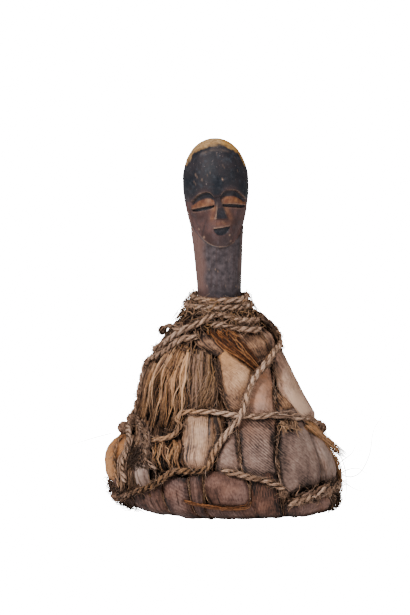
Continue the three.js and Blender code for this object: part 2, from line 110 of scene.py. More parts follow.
def read_table(table, places):
    """A smooth curve through a table's points, read at many places."""
    keys, values = np.array(table, float).T
    before = np.maximum(np.arange(len(keys)) - 1, 0)
    after = np.minimum(np.arange(len(keys)) + 1, len(keys) - 1)
    slopes = (values[after] - values[before]) / (keys[after] - keys[before])
    places = np.clip(places, keys[0], keys[-1])
    i = np.clip(np.searchsorted(keys, places, side="right") - 1, 0, len(keys) - 2)
    span = keys[i + 1] - keys[i]
    t = (places - keys[i]) / span
    rise = values[i] * (1 + 2 * t) * (1 - t) ** 2 + values[i + 1] * t * t * (3 - 2 * t)
    return rise + span * (slopes[i] * t * (1 - t) ** 2 - slopes[i + 1] * t * t * (1 - t))


def ramp(value, start, end):
    """0 before start, 1 past end, with a soft S between them."""
    t = np.clip((value - start) / (end - start), 0, 1)
    return t * t * (3 - 2 * t)


def line(distance, width):
    """1 on a line, falling to nothing a width or two away from it."""
    return np.exp(-((distance / width) ** 2))


def noise(points, size, seed=0):
    """Smooth random values from -1 to 1 over points, in blobs of that size, which may differ by axis."""
    scaled = points / np.array(size, float) + seed * 37.7
    cell = np.floor(scaled).astype(np.int64)
    t = scaled - cell
    t = t * t * (3 - 2 * t)
    total = np.zeros(len(points))
    for corner in itertools.product((0, 1), repeat=points.shape[1]):
        key = (cell + corner) * np.array([73856093, 19349663, 83492791])[: points.shape[1]]
        mixed = np.bitwise_xor.reduce(key, axis=1)
        mixed = ((mixed ^ (mixed >> 13)) * 1274126177) & 0x7FFFFFFF
        value = ((mixed ^ (mixed >> 15)) % 65536) / 32767.5 - 1
        total += value * np.prod(np.where(corner, t, 1 - t), axis=1)
    return total


def vertices_of(piece):
    """A piece's vertices as rows of x, y and z."""
    flat = np.empty(len(piece.data.vertices) * 3)
    piece.data.vertices.foreach_get("co", flat)
    return flat.reshape(-1, 3)


def set_vertices(piece, places):
    piece.data.vertices.foreach_set("co", np.ascontiguousarray(places, np.float32).ravel())
    piece.data.update()


def paint(piece, name, values):
    """Keeps one number for each vertex, for the finish to read."""
    layer = piece.data.attributes.new(name, "FLOAT", "POINT")
    layer.data.foreach_set("value", np.ascontiguousarray(values, np.float32))


def add_node(tree, kind, inputs=None, **settings):
    """A shader node, whose inputs are numbers, colours or other nodes' outputs."""
    made = tree.nodes.new(kind)
    for key, value in settings.items():
        setattr(made, key, value)
    for key, value in (inputs or {}).items():
        if isinstance(value, bpy.types.NodeSocket):
            tree.links.new(value, made.inputs[key])
        else:
            made.inputs[key].default_value = value
    return made


def new_finish(name, roughness, specular):
    finish = bpy.data.materials.new(name)
    finish.use_nodes = True
    shader = finish.node_tree.nodes["Principled BSDF"]
    shader.inputs["Roughness"].default_value = roughness
    shader.inputs["Specular IOR Level"].default_value = specular
    return finish, finish.node_tree, shader


def grain(tree, coordinates, scale, detail=4.0, stretch=(1, 1, 1)):
    """A noise value from 0 to 1, drawn out along the axes where stretch is small."""
    moved = add_node(tree, "ShaderNodeMapping", {"Vector": coordinates, "Scale": stretch})
    inputs = {"Vector": moved.outputs[0], "Scale": scale, "Detail": detail}
    return add_node(tree, "ShaderNodeTexNoise", inputs).outputs["Fac"]


def painted(tree, name):
    return add_node(tree, "ShaderNodeAttribute", attribute_name=name).outputs["Fac"]


def remap(tree, value, low, high, to_low=0.0, to_high=1.0):
    inputs = {"Value": value, "From Min": low, "From Max": high, "To Min": to_low, "To Max": to_high}
    return add_node(tree, "ShaderNodeMapRange", inputs).outputs["Result"]


def maths(tree, operation, a, b):
    return add_node(tree, "ShaderNodeMath", {0: a, 1: b}, operation=operation).outputs[0]


def blend_colours(tree, factor, a, b):
    return add_node(tree, "ShaderNodeMix", {0: factor, 6: a, 7: b}, data_type="RGBA").outputs[2]


def colour(red, green, blue):
    return (red, green, blue, 1.0)


def finish_piece(piece, finish, slot, *nodes):
    """Gives a piece its finish and smooth shading, hangs it under the root, and hides the solids of the frame
    that it stands for.
    """
    piece.data.materials.clear()
    piece.data.materials.append(finish)
    piece.data.polygons.foreach_set("use_smooth", np.ones(len(piece.data.polygons), bool))
    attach(piece, "root")
    if nodes:
        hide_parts(*nodes)


def eye_cuts(x, height, brow, lid_line, brightness):
    """One eye: a socket that slopes in from the lid to the brow, over a slit under the lid."""
    first, last = brow[0][0] - 0.5, brow[-1][0] + 0.5
    inside = np.minimum(x - first, last - x)
    top = read_table(brow, x)
    lid = read_table(lid_line, x)
    share = np.clip((height - lid) / np.maximum(top - lid, 1), 0, 1)
    socket = ramp(np.minimum(np.minimum(top - height, height - lid), inside), -0.3, 0.7)
    sloping = LID_DEPTH + (BROW_DEPTH - LID_DEPTH) * ramp(share, 0.05, 0.7)
    orange = socket * (1 - ramp(share, 0.46, 0.62)) * brightness
    # The socket's top band, under the brow, is painted shade: the black mask lays it on dark.
    shadow = socket * ramp(share, 0.5, 0.66)
    along = np.clip((x - first) / (last - first), 0, 1)
    opening = 0.8 + (SLIT_OPENING - 0.8) * np.sin(np.pi * along) ** 0.35
    slit = ramp(np.minimum(np.minimum(lid - height, height - lid + opening), inside), -0.2, 0.5)
    near = ramp(inside, -0.5, 1.5)
    # The pale lines on the brow's edge, the lid and under the slit are partly rubbed wood and partly painted
    # highlights.
    worn_and_lit = near * np.maximum(0.65 * line(height - top - 0.4, 0.5), 0.75 * line(height - lid - 0.3, 0.45))
    worn_and_lit = np.maximum(worn_and_lit, 0.3 * near * line(height - lid + opening + 0.6, 0.5))
    return socket, sloping, slit, orange, shadow, worn_and_lit


def face_cuts(x, height):
    """The carving on one face: how deep it is cut, and how much each paint, the painted shade and the pale
    edges cover it; the pale edges are rubbed wood with painted highlights.
    """
    upper = read_table(LEFT_BROW + RIGHT_BROW, x)
    jaw = read_table(JAW_LINE, x)
    depth = FACE_DEPTH * ramp(np.minimum(height - jaw, upper - height), -0.5, 0.5)
    orange = 0.45 * line(height - MOUTH["top"] - 4.5, 3.2) * line(x - 1, 9)
    # The black mask holds the black paint and also painted shade: the socket's top band, a line under the jaw
    # and the cheek groove.
    black_paint_and_shade = ramp(height - upper, -0.6, 0.4) * (1 - 0.35 * line(height - upper - 1, 2.5))
    # The pale line on the jaw's edge is partly rubbed wood and partly painted highlights.
    wear_and_highlight = 0.35 * line(height - jaw - 0.3, 0.5) * ramp(JAW_WEAR_AND_HIGHLIGHT_TOP - height, 0, 6)
    for brow, lid_line, brightness in ((LEFT_BROW, LEFT_LID, 0.75), (RIGHT_BROW, RIGHT_LID, 0.95)):
        socket, sloping, slit, glow, shadow, worn_and_lit = eye_cuts(x, height, brow, lid_line, brightness)
        depth = depth * (1 - socket) + sloping * socket
        depth = np.maximum(depth, SLIT_DEPTH * slit)
        orange = np.maximum(orange, glow) * (1 - slit)
        black_paint_and_shade = np.maximum(np.maximum(black_paint_and_shade, 0.92 * shadow), slit)
        wear_and_highlight = np.maximum(wear_and_highlight, worn_and_lit)
    tip = NOSE_TIP["height"]
    rise = np.clip((NOSE_TOP["height"] - height) / (NOSE_TOP["height"] - tip), 0, 1)
    middle = NOSE_TOP["middle"] + (NOSE_TIP["middle"] - NOSE_TOP["middle"]) * rise
    half = NOSE_TOP["half"] + (NOSE_TIP["half"] - NOSE_TOP["half"]) * rise**1.2
    beside = half - np.abs(x - middle)
    on_nose = np.minimum(beside, height - tip)
    nose = ramp(on_nose, -0.5, 0.9)
    nose *= ramp(NOSE_TOP["height"] + 5 - height, 0, 6)
    out = NOSE_TOP["out"] + (NOSE_TIP["out"] - NOSE_TOP["out"]) * rise
    depth = depth * (1 - nose) + (FACE_DEPTH - out) * nose
    blush = line(beside + 3.2, 3.0) * ramp(height, tip - 6, tip + 2)
    orange = np.maximum(orange, 0.55 * blush * ramp(NOSE_BLUSH_TOP - height, 0, 3)) * (1 - nose)
    front = 0.85 * ramp(on_nose, 0.2, 0.8) * ramp(NOSE_FRONT - height, -1, 1)
    bridge = ramp(3.6 + 0.25 * (height - NOSE_FRONT) - np.abs(x - middle), -1, 1)
    bridge = bridge * ramp(height - NOSE_FRONT, -1, 1)
    black_paint_and_shade = np.maximum(np.maximum(black_paint_and_shade * (1 - nose), front), 0.6 * bridge * ramp(upper + 4 - height, 0, 3))
    wear_and_highlight *= 1 - nose
    # The nose's edges are pale, the left one more than the right: rubbed wood with painted highlights.
    low_nose = ramp(height, tip, NOSE_WEAR_AND_HIGHLIGHT_TOP)
    left_edge = line(beside - 0.2, 0.5) * ramp(middle - x, 0, 1) * low_nose
    right_edge = 0.4 * line(beside - 0.2, 0.4) * ramp(x - middle, 0, 1) * low_nose
    wear_and_highlight = np.maximum(wear_and_highlight, np.maximum(0.75 * left_edge, right_edge) * ramp(rise, 0.1, 0.35))
    top = MOUTH["top"] + MOUTH["slope"] * x
    oval = np.hypot((x - MOUTH["middle"]) / MOUTH["half"], (top - height) / MOUTH["drop"])
    oval = (1 - oval) * MOUTH["drop"]
    mouth = ramp(np.minimum(oval, top - height), -0.2, 0.6)
    depth = np.maximum(depth, MOUTH_DEPTH * mouth)
    black_paint_and_shade = np.maximum(black_paint_and_shade, mouth)
    orange *= 1 - mouth
    # The pale line over the mouth is rubbed wood with a painted highlight on the cut's edge.
    lip = line(height - top - 0.7, 0.6) * ramp(MOUTH["half"] - np.abs(x - MOUTH["middle"]), -0.5, 1)
    wear_and_highlight = np.maximum(wear_and_highlight, 0.8 * lip)
    cheek = line(x - read_table(CHEEK_CUT, height), 0.8) * ramp(height, CHEEK_START, CHEEK_START + 4)
    cheek = cheek * ramp(CHEEK_END - height, 0, 6)
    depth += CHEEK_DEPTH * cheek
    # Painted shade: a dark line under the jaw's edge, and the cheek groove painted dark as well as cut.
    under_jaw_shade = line(height - jaw + 0.5, 0.7) * ramp(JAW_SHADOW_TOP - height, 0, 8)
    black_paint_and_shade = np.maximum(black_paint_and_shade, np.maximum(0.5 * cheek, 0.85 * under_jaw_shade))
    # Pale spots: chips through the paint, and painted glints on the chin's edge.
    for chip_x, chip_height, size in CHIPS_AND_GLINTS:
        wear_and_highlight = np.maximum(wear_and_highlight, 1.2 * line(np.hypot(x - chip_x, height - chip_height), size))
    return depth, orange, black_paint_and_shade, wear_and_highlight


def scratches(x, height):
    """Fine pale scratches through the paint of the forehead and the neck."""
    total = np.zeros_like(x)
    for _ in range(SCRATCH_COUNT):
        start_x = dice.uniform(-SCRATCH_HALF, SCRATCH_HALF)
        start_height = dice.choice([dice.uniform(*FOREHEAD), dice.uniform(*NECK_FRONT)])
        turn, reach = dice.uniform(0, math.pi), dice.uniform(2, 8)
        along = np.clip((x - start_x) * math.cos(turn) + (height - start_height) * math.sin(turn), 0, reach)
        off = np.hypot(x - start_x - along * math.cos(turn), height - start_height - along * math.sin(turn))
        total = np.maximum(total, dice.uniform(0.15, 0.5) * line(off, 0.3))
    return total


bpy.ops.object.select_all(action="DESELECT")
bpy.ops.mesh.primitive_uv_sphere_add(segments=HEAD_COLUMNS, ring_count=HEAD_ROWS, radius=1)
head = bpy.context.object
head.name = "carved_head"
ball = vertices_of(head)
down = np.arccos(np.clip(ball[:, 2], -1, 1)) / np.pi
plan = np.hypot(ball[:, 0], ball[:, 1])
across = np.divide(ball[:, 0], plan, out=np.zeros_like(plan), where=plan > 1e-6)
forward = np.divide(-ball[:, 1], plan, out=np.ones_like(plan), where=plan > 1e-6)
crown_share = np.cos(np.pi / 2 * np.clip(down / CROWN_SHARE, 0, 1))
last_ring = 1 - 1 / HEAD_ROWS
height = np.interp(
    down, [CROWN_SHARE, FACE_SHARE, NECK_SHARE, last_ring], [TEMPLE, CHIN - 3, BURIED_HEIGHT, 0]
)
height = np.where(down < CROWN_SHARE, TEMPLE + CROWN_HEIGHT * crown_share, height)


def oval_reach(sections, height):
    """How far an oval section reaches in each vertex's own direction."""
    half_width = read_table([(key, width) for key, width, _ in sections], height)
    half_depth = read_table([(key, depth) for key, _, depth in sections], height)
    return 1 / np.hypot(across / half_width, forward / half_depth)


neck_reach = oval_reach(NECK_SECTIONS, height)
skull_reach = oval_reach(JAW_SECTIONS, height)
skull_reach *= (1 - np.clip(crown_share * (down < CROWN_SHARE), 0, 1) ** CROWN_POWER) ** (1 / CROWN_POWER)
with_skull = np.maximum(neck_reach * (height < TEMPLE - 30), skull_reach)
reach = np.where(height > CHIN, with_skull, neck_reach)
reach = np.where(down > last_ring + 0.5 / HEAD_ROWS, 0, reach)
facing = np.where(forward >= 0, 1, -1)
face_x = reach * across * facing
cut_depth, orange, black_paint_and_shade, wear_and_highlight = face_cuts(face_x, height)
on_head = ramp(height, CHIN - 1, CHIN + 3) * ramp(np.abs(forward), 0.08, 0.2)
cut_depth *= on_head
round_place = np.column_stack([across * reach, forward * reach, height])
dents = 0.3 * noise(round_place, (7, 7, 9)) + 0.12 * noise(round_place, (2.2, 2.2, 5), 3)
reach = np.maximum(reach - cut_depth + dents * (down > 0.01), 0) * (plan > 1e-6)
stand = Matrix.Translation(NECK_FOOT) @ Matrix.Rotation(-HEAD_LEAN, 4, "Y")
stand = np.array(stand @ Matrix.Rotation(HEAD_TURN, 4, "Z"))
placed = np.column_stack([reach * across, -reach * forward, height, np.ones(len(height))]) @ stand.T
set_vertices(head, placed[:, :3] * MM)
broken = 0.62 + 0.5 * noise(round_place, (4, 4, 3), 8) + 0.25 * noise(round_place, (1.5, 1.5, 1.5), 9)
above_line = height - read_table(OCHRE_LINE, round_place[:, 0])
ochre = ramp(above_line + 1.6 * noise(round_place, (5, 5, 5), 5), -0.8, 0.8)
faded = 0.22 * line(above_line + 4, 1.3) * ramp(18 - np.abs(face_x + 3), 0, 6)
paint(head, "orange", np.clip(orange * on_head * (0.85 + 0.35 * noise(round_place, (3, 3, 3), 12)), 0, 1))
# Painted shade low on the neck, darker towards its foot in the bundle, carried by the black mask with the
# black paint.
low_shade = 0.4 * (1 - ramp(height, 54, 66))
black_paint_and_shade = np.where(height > 150, np.maximum(black_paint_and_shade, 1 - on_head), black_paint_and_shade) * ramp(height, 104, 108)
paint(head, "black_paint_and_shade", np.maximum(black_paint_and_shade, low_shade))
# The pale mask: rubbed edges, scratches and faded paint, with painted highlights along the carved edges.
paint(head, "wear_and_highlight", np.clip(wear_and_highlight * on_head * broken + scratches(face_x, height) + faded * broken, 0, 1))
paint(head, "ochre", ochre)
rim_height = above_line - 1.2
paint(head, "rim", 0.75 * line(rim_height + 1.2 * noise(round_place, (4, 4, 4), 16), 1.1) * broken)
chin_grey = 0.6 * line(np.hypot(face_x - 2, height - 112), 9)
paint(head, "neck", np.maximum(1 - ramp(height - read_table(JAW_LINE, face_x), -1.5, 0.5), chin_grey))
turned = across * facing + 0.12 * noise(round_place, (9, 9, 14), 14)
paint(head, "flank", np.maximum(ramp(-turned, 0.5, 0.85), 0.6 * ramp(turned, 0.72, 0.95)))
paint(head, "right", ramp(round_place[:, 0] + 2 * noise(round_place, (6, 6, 6), 15), 2, 9))

wood, tree, shader = new_finish("stained_carved_wood", 0.55, 0.25)
place = add_node(tree, "ShaderNodeTexCoord").outputs["Object"]
streaks = grain(tree, place, 420, 5, (1, 1, 0.09))
patches = grain(tree, place, 60, 5)
mottle = grain(tree, place, 190, 4)
specks = grain(tree, place, 620, 3)
stained = blend_colours(
    tree, remap(tree, patches, 0.38, 0.62), colour(0.042, 0.018, 0.016), colour(0.1, 0.047, 0.042)
)
stained = blend_colours(tree, remap(tree, mottle, 0.5, 0.7, 0, 0.6), stained, colour(0.065, 0.042, 0.044))
flank = maths(tree, "MULTIPLY", painted(tree, "flank"), remap(tree, streaks, 0.3, 0.6, 0.6, 1.0))
neck_wood = blend_colours(
    tree, remap(tree, mottle, 0.35, 0.65), colour(0.03, 0.022, 0.025), colour(0.085, 0.063, 0.067)
)
neck_wood = blend_colours(tree, flank, neck_wood, colour(0.16, 0.082, 0.066))
surface = blend_colours(tree, painted(tree, "neck"), stained, neck_wood)
dark_streaks = remap(tree, streaks, 0.45, 0.75, 0.0, 0.6)
surface = blend_colours(tree, dark_streaks, surface, colour(0.035, 0.016, 0.014))
socket_paint = blend_colours(
    tree, remap(tree, mottle, 0.35, 0.65), colour(0.13, 0.042, 0.018), colour(0.3, 0.125, 0.05)
)
surface = blend_colours(tree, painted(tree, "orange"), surface, socket_paint)
# The black paint's colour, which the black mask also lays on as painted shade.
dark_paint_and_shade = blend_colours(
    tree, remap(tree, patches, 0.4, 0.66), colour(0.004, 0.006, 0.011), colour(0.02, 0.015, 0.018)
)
# Painted sheen: lighter grey-blue blotches laid over the black paint.
painted_sheen = remap(tree, mottle, 0.5, 0.72, 0, 0.65)
dark_paint_and_shade = blend_colours(tree, painted_sheen, dark_paint_and_shade, colour(0.036, 0.038, 0.047))
black_and_shade_share = maths(tree, "MULTIPLY", painted(tree, "black_paint_and_shade"), remap(tree, specks, 0.6, 0.7, 1.0, 0.75))
surface = blend_colours(tree, black_and_shade_share, surface, dark_paint_and_shade)
tan = blend_colours(
    tree, remap(tree, streaks, 0.35, 0.62), colour(0.24, 0.125, 0.045), colour(0.44, 0.27, 0.12)
)
amber = blend_colours(
    tree, remap(tree, mottle, 0.4, 0.62), colour(0.38, 0.17, 0.03), colour(0.42, 0.25, 0.08)
)
yellow = blend_colours(tree, painted(tree, "right"), tan, amber)
yellow = blend_colours(tree, painted(tree, "rim"), yellow, colour(0.1, 0.04, 0.012))
ochre_share = maths(tree, "MULTIPLY", painted(tree, "ochre"), remap(tree, mottle, 0.32, 0.5, 0.6, 1.0))
surface = blend_colours(tree, ochre_share, surface, yellow)
# Pale wood where the mask is rubbed, or where it is a painted highlight.
worn_and_lit = maths(tree, "MULTIPLY", painted(tree, "wear_and_highlight"), remap(tree, specks, 0.3, 0.6, 0.4, 1.0))
surface = blend_colours(tree, worn_and_lit, surface, colour(0.4, 0.25, 0.17))
dust = maths(tree, "MULTIPLY", remap(tree, specks, 0.68, 0.74), remap(tree, patches, 0.45, 0.6, 0.0, 0.5))
surface = blend_colours(tree, dust, surface, colour(0.4, 0.33, 0.3))
tree.links.new(surface, shader.inputs["Base Color"])
tree.links.new(remap(tree, patches, 0.3, 0.7, 0.5, 0.68), shader.inputs["Roughness"])
relief = maths(tree, "ADD", streaks, maths(tree, "MULTIPLY", specks, 0.5))
bump = add_node(tree, "ShaderNodeBump", {"Height": relief, "Distance": 0.4 * MM, "Strength": 0.7})
tree.links.new(bump.outputs[0], shader.inputs["Normal"])
finish_piece(head, wood, "carved_wood", "head_and_neck")

# Packed inner sheaths
# The bundle is filled with many layers of older, dark leaf sheath, packed tight round the neck.
# They show as dark fibrous edges in the gaps between the outer leaves, painted darker still as the shade in
# those gaps, and torn low on the left.
BUNDLE_RADIUS = [
    (0, 105), (9, 114), (30, 119.5), (56, 116), (80, 100), (106, 87),
    (140, 75), (167, 62), (190, 48), (213, 31), (226, 27),
]
BUNDLE_MIDDLE = [(0, 12), (12, 4), (36, 0), (60, -2), (90, 3), (145, -4), (226, -3)]
PLAN_POWER = 2.4
PLAN_DEPTH = 0.93
CORE_LIFT = [(0, -10.5), (185, -10.5), (198, -5)]
CORE_COLUMNS = 130
CORE_ROWS = 60
CORE_TOP = 214
UNDERSIDE_SHARE = 0.2
SIDE_SHARE = 0.9
DARK_STOP = 0.08
MIDDLE_STOP = 0.5
LIGHT_STOP = 0.95
STRIP_STEPS = 9
PATTERN_SHIFT = 13
THINNEST = 0.12
LOCK_SPREAD = 0.42
BILLOW = 1.6
HOLLOW_PUSH = 1.1
HOLLOW_DEPTH = 4
TONE_SCATTER = 0.13
WARMTH_SCATTER = 0.15


def bundle_point(angle, height, lift):
    """Points on the bundle in metres: angle 0 is the front and 90 is +X, lift is the distance out."""
    sine = np.sin(np.radians(angle))
    cosine = np.cos(np.radians(angle))
    corner = np.abs(sine) ** PLAN_POWER + np.abs(cosine) ** PLAN_POWER
    radius = (read_table(BUNDLE_RADIUS, height) + lift) * corner ** (-1 / PLAN_POWER)
    x = read_table(BUNDLE_MIDDLE, height) + radius * sine
    return np.stack([x, -radius * cosine * PLAN_DEPTH, height + 0 * x], axis=-1) * MM


def bundle_normal(angle, height):
    """The direction straight out of the bundle's surface."""
    sideways = bundle_point(angle + 1, height, 0) - bundle_point(angle - 1, height, 0)
    upwards = bundle_point(angle, height + 2, 0) - bundle_point(angle, height - 2, 0)
    normal = np.cross(sideways, upwards)
    return normal / np.linalg.norm(normal, axis=-1, keepdims=True)


def degree_length(height):
    """Millimetres round the bundle for one degree at a height."""
    return read_table(BUNDLE_RADIUS, height) * np.pi / 180


def add_uv(piece, across_mm, along_mm):
    """Lays the pattern's coordinates, in millimetres, on each corner by its vertex."""
    mesh = piece.data
    layer = mesh.uv_layers.active or mesh.uv_layers.new(name="UVMap")
    corners = np.empty(len(mesh.loops), np.int32)
    mesh.loops.foreach_get("vertex_index", corners)
    flat = np.column_stack([across_mm, along_mm])[corners]
    layer.data.foreach_set("uv", np.ascontiguousarray(flat, np.float32).ravel())


def plant_finish(name, dark, middle, light, warm, fibre=1.6, roughness=0.62, relief=0.35, specular=0.2):
    """Dry plant matter: its tone and warmth are painted on the piece, with fine fibres along it."""
    finish, tree, shader = new_finish(name, roughness, specular)
    place = add_node(tree, "ShaderNodeTexCoord")
    fibres = grain(tree, place.outputs["UV"], fibre, 4, (1, 0.07, 1))
    threads = grain(tree, place.outputs["UV"], fibre * 2.7, 2, (1, 0.05, 1))
    mottle = grain(tree, place.outputs["Object"], 95, 4)
    spots = grain(tree, place.outputs["Object"], 360, 4)
    flecks = grain(tree, place.outputs["Object"], 620, 3)
    tone = painted(tree, "tone")
    for pattern, *limits in (
        (fibres, 0.3, 0.7, -0.18, 0.18),
        (threads, 0.3, 0.7, -0.12, 0.12),
        (mottle, 0.35, 0.65, -0.08, 0.08),
        (spots, 0.35, 0.65, -0.09, 0.09),
        (flecks, 0.66, 0.72, 0.0, 0.2),
    ):
        tone = maths(tree, "ADD", tone, remap(tree, pattern, *limits))
    shades = add_node(tree, "ShaderNodeValToRGB", {"Fac": tone})
    stops = shades.color_ramp.elements
    stops[0].position, stops[0].color = DARK_STOP, dark
    stops[1].position, stops[1].color = LIGHT_STOP, light
    stops.new(MIDDLE_STOP).color = middle
    warmth = maths(tree, "MULTIPLY", painted(tree, "warm"), remap(tree, mottle, 0.3, 0.7, 0.55, 1.0))
    warm_tone = blend_colours(tree, tone, dark, warm)
    surface = blend_colours(tree, warmth, shades.outputs["Color"], warm_tone)
    tree.links.new(surface, shader.inputs["Base Color"])
    dullness = remap(tree, fibres, 0.3, 0.7, roughness - 0.1, roughness + 0.12)
    tree.links.new(dullness, shader.inputs["Roughness"])
    height = maths(tree, "ADD", fibres, maths(tree, "MULTIPLY", threads, 0.6))
    height = maths(tree, "ADD", height, maths(tree, "MULTIPLY", spots, 0.5))
    bump = add_node(tree, "ShaderNodeBump", {"Height": height, "Distance": relief * MM, "Strength": 0.8})
    tree.links.new(bump.outputs[0], shader.inputs["Normal"])
    return finish


def unit(vectors):
    return vectors / np.maximum(np.linalg.norm(vectors, axis=-1, keepdims=True), 1e-9)


def strips(paths, outward, half_width, half_depth, sides=4, lobes=1):
    """Many closed strips in one go: rows of points with the direction out of the bundle at each.
    It returns vertices, faces, corner coordinates in millimetres, and each vertex's strip."""
    count, steps = paths.shape[:2]
    along = unit(np.gradient(paths, axis=1))
    across = unit(np.cross(along, outward))
    out = np.cross(across, along)
    turn = np.arange(sides) * 2 * np.pi / sides
    wide = across[:, :, None] * np.cos(turn)[:, None] * (half_width * MM)[:, :, None, None]
    deep = out[:, :, None] * np.sin(turn)[:, None] * (half_depth * MM)[:, :, None, None]
    spots = paths[:, :, None] + (wide + deep) * lobes
    strip, step, side = np.meshgrid(np.arange(count), np.arange(steps - 1), np.arange(sides), indexing="ij")
    first = (strip * steps + step) * sides
    beside = (side + 1) % sides
    quads = np.stack([first + side, first + sides + side, first + sides + beside, first + beside], axis=-1)
    starts = (np.arange(count) * steps * sides)[:, None]
    near_caps = starts + np.arange(sides)
    far_caps = starts + (steps - 1) * sides + np.arange(sides)[::-1]
    faces = quads.reshape(-1, 4).tolist() + near_caps.tolist() + far_caps.tolist()
    run = np.linalg.norm(np.diff(paths, axis=1), axis=2) / MM
    run = np.concatenate([np.zeros((count, 1)), np.cumsum(run, axis=1)], axis=1)
    run = run + np.arange(count)[:, None] * PATTERN_SHIFT
    girth = 2 * np.pi * half_width.mean()
    low, high = run[strip, step], run[strip, step + 1]
    left, right = side / sides * girth, (side + 1) / sides * girth
    corners = [np.stack(pair, axis=-1) for pair in ((left, low), (left, high), (right, high), (right, low))]
    corners = np.vstack([np.stack(corners, axis=3).reshape(-1, 2), np.zeros((count * 2 * sides, 2))])
    return spots.reshape(-1, 3), faces, corners, np.repeat(np.arange(count), steps * sides)


def strips_piece(name, parts, finish, slot, *nodes):
    """Joins groups of strips into one piece. A group's tone and warmth are given for each of its strips."""
    spots, faces, corners, tones, warms = [], [], [], [], []
    total = 0
    for (places, part_faces, part_corners, owner), tone, warm in parts:
        faces += [[index + total for index in face] for face in part_faces]
        spots.append(places)
        corners.append(part_corners)
        tones.append(tone[owner])
        warms.append(warm[owner])
        total += len(places)
    mesh = bpy.data.meshes.new(name)
    mesh.from_pydata(np.vstack(spots).tolist(), [], faces)
    layer = mesh.uv_layers.new(name="UVMap")
    layer.data.foreach_set("uv", np.vstack(corners).astype(np.float32).ravel())
    piece = bpy.data.objects.new(name, mesh)
    bpy.context.scene.collection.objects.link(piece)
    paint(piece, "tone", np.concatenate(tones))
    paint(piece, "warm", np.concatenate(warms))
    finish_piece(piece, finish, slot, *nodes)
    return piece


def taper(steps, tip, from_share):
    """A strip's width along it: full, then narrowing to its tip."""
    return 1 - (1 - tip) * ramp(np.linspace(0, 1, steps), from_share, 1.0)


def hanging_strips(stations, count, width, lifts, locks=0, meeting=0.4, ends=0.2, starts=0.05, wander=0.4,
                   tones=(0.15, 0.7), warmth=0.35, flatness=0.3, hollows=()):
    """Strips that run down through stations of height, left and right angle, gathered in locks.
    Each hollow, an angle, a height and its half size both ways, is a dark place that they part round."""
    heights, lefts, rights = (np.array(column, float) for column in zip(*stations))
    down = np.linspace(0, 1, len(heights))
    start = dice.uniform(0, starts, (count, 1))
    stop = 1 - dice.uniform(0, 1, (count, 1)) ** 1.6 * ends
    t = start + (stop - start) * np.linspace(0, 1, STRIP_STEPS)
    width_mm = float(np.mean((rights - lefts) * degree_length(heights)))
    if locks:
        lock = dice.integers(0, locks, count)
        centre = ((np.arange(locks) + dice.uniform(0.1, 0.9, locks)) / locks)[lock][:, None]
        proud = dice.uniform(0, 1, locks)[lock][:, None]
        hue = dice.uniform(-1, 1, locks)[lock]
        u = centre + dice.normal(0, LOCK_SPREAD / locks, (count, 1)) * (1 - meeting * t)
        layer = 0.6 * proud + 0.4 * dice.uniform(0, 1, (count, 1))
    else:
        hue = dice.uniform(-1, 1, count)
        u = dice.uniform(0, 1, (count, 1))
        layer = dice.uniform(0, 1, (count, 1))
    u = u + wander / width_mm * np.cumsum(dice.normal(0, 1, (count, STRIP_STEPS)), axis=1)
    height = np.interp(t, down, heights)
    angle = np.interp(t, down, lefts) * (1 - u) + np.interp(t, down, rights) * u
    drift = np.cumsum(dice.normal(0, 0.25, (count, STRIP_STEPS)), axis=1)
    lift = lifts[0] + (lifts[1] - lifts[0]) * layer + drift + BILLOW * np.sin(np.pi * t) * layer
    for hollow_angle, level, wide, tall in hollows:
        off = angle - hollow_angle
        near = np.exp(-((off / wide) ** 2) - ((height - level) / tall) ** 2)
        angle = angle + np.sign(off.mean(axis=1, keepdims=True)) * HOLLOW_PUSH * wide * near
        lift = lift - HOLLOW_DEPTH * near
    widths = dice.uniform(*width, (count, 1)) * taper(STRIP_STEPS, 0.12, 0.45)
    widths = widths * (1 + 0.2 * dice.normal(0, 1, (count, STRIP_STEPS)).clip(-1, 1))
    out = bundle_normal(angle, height) + dice.normal(0, 0.4, (count, 1, 3))
    made = strips(bundle_point(angle, height, lift), out, widths, np.maximum(widths * flatness, THINNEST))
    # Painted shade: strips that lie deeper are painted darker, as the shade of the strips over them.
    tone = tones[0] + (tones[1] - tones[0]) * layer[:, 0] + dice.normal(0, TONE_SCATTER, count)
    return made, tone, np.clip(warmth + 0.4 * hue + dice.normal(0, WARMTH_SCATTER, count), 0, 1)


bpy.ops.object.select_all(action="DESELECT")
bpy.ops.mesh.primitive_uv_sphere_add(segments=CORE_COLUMNS, ring_count=CORE_ROWS, radius=1)
core = bpy.context.object
core.name = "inner_sheath_layers"
ball = vertices_of(core)
up = 1 - np.arccos(np.clip(ball[:, 2], -1, 1)) / np.pi
angle = np.degrees(np.arctan2(ball[:, 0], -ball[:, 1]))
height = np.interp(up, [UNDERSIDE_SHARE, SIDE_SHARE], [0, CORE_TOP])
lift = read_table(CORE_LIFT, height)
side = ramp(height, 1, 8) * ramp(CORE_TOP + 3 - height, 0, 12)
ring_place = np.column_stack([angle * 1.6, height])
lift += side * (1.1 * noise(ring_place, (5, 46), 2) + 0.8 * noise(ring_place, (2, 18), 4))
from_below = np.clip(up / UNDERSIDE_SHARE, 0, 1)
from_above = 1 - np.clip((up - SIDE_SHARE) / (1 - SIDE_SHARE), 0, 1)
inward = np.minimum(from_below, from_above)
middle = bundle_point(angle, height, -read_table(BUNDLE_RADIUS, height))
rim = bundle_point(angle, height, lift)
set_vertices(core, middle + (rim - middle) * inward[:, None])
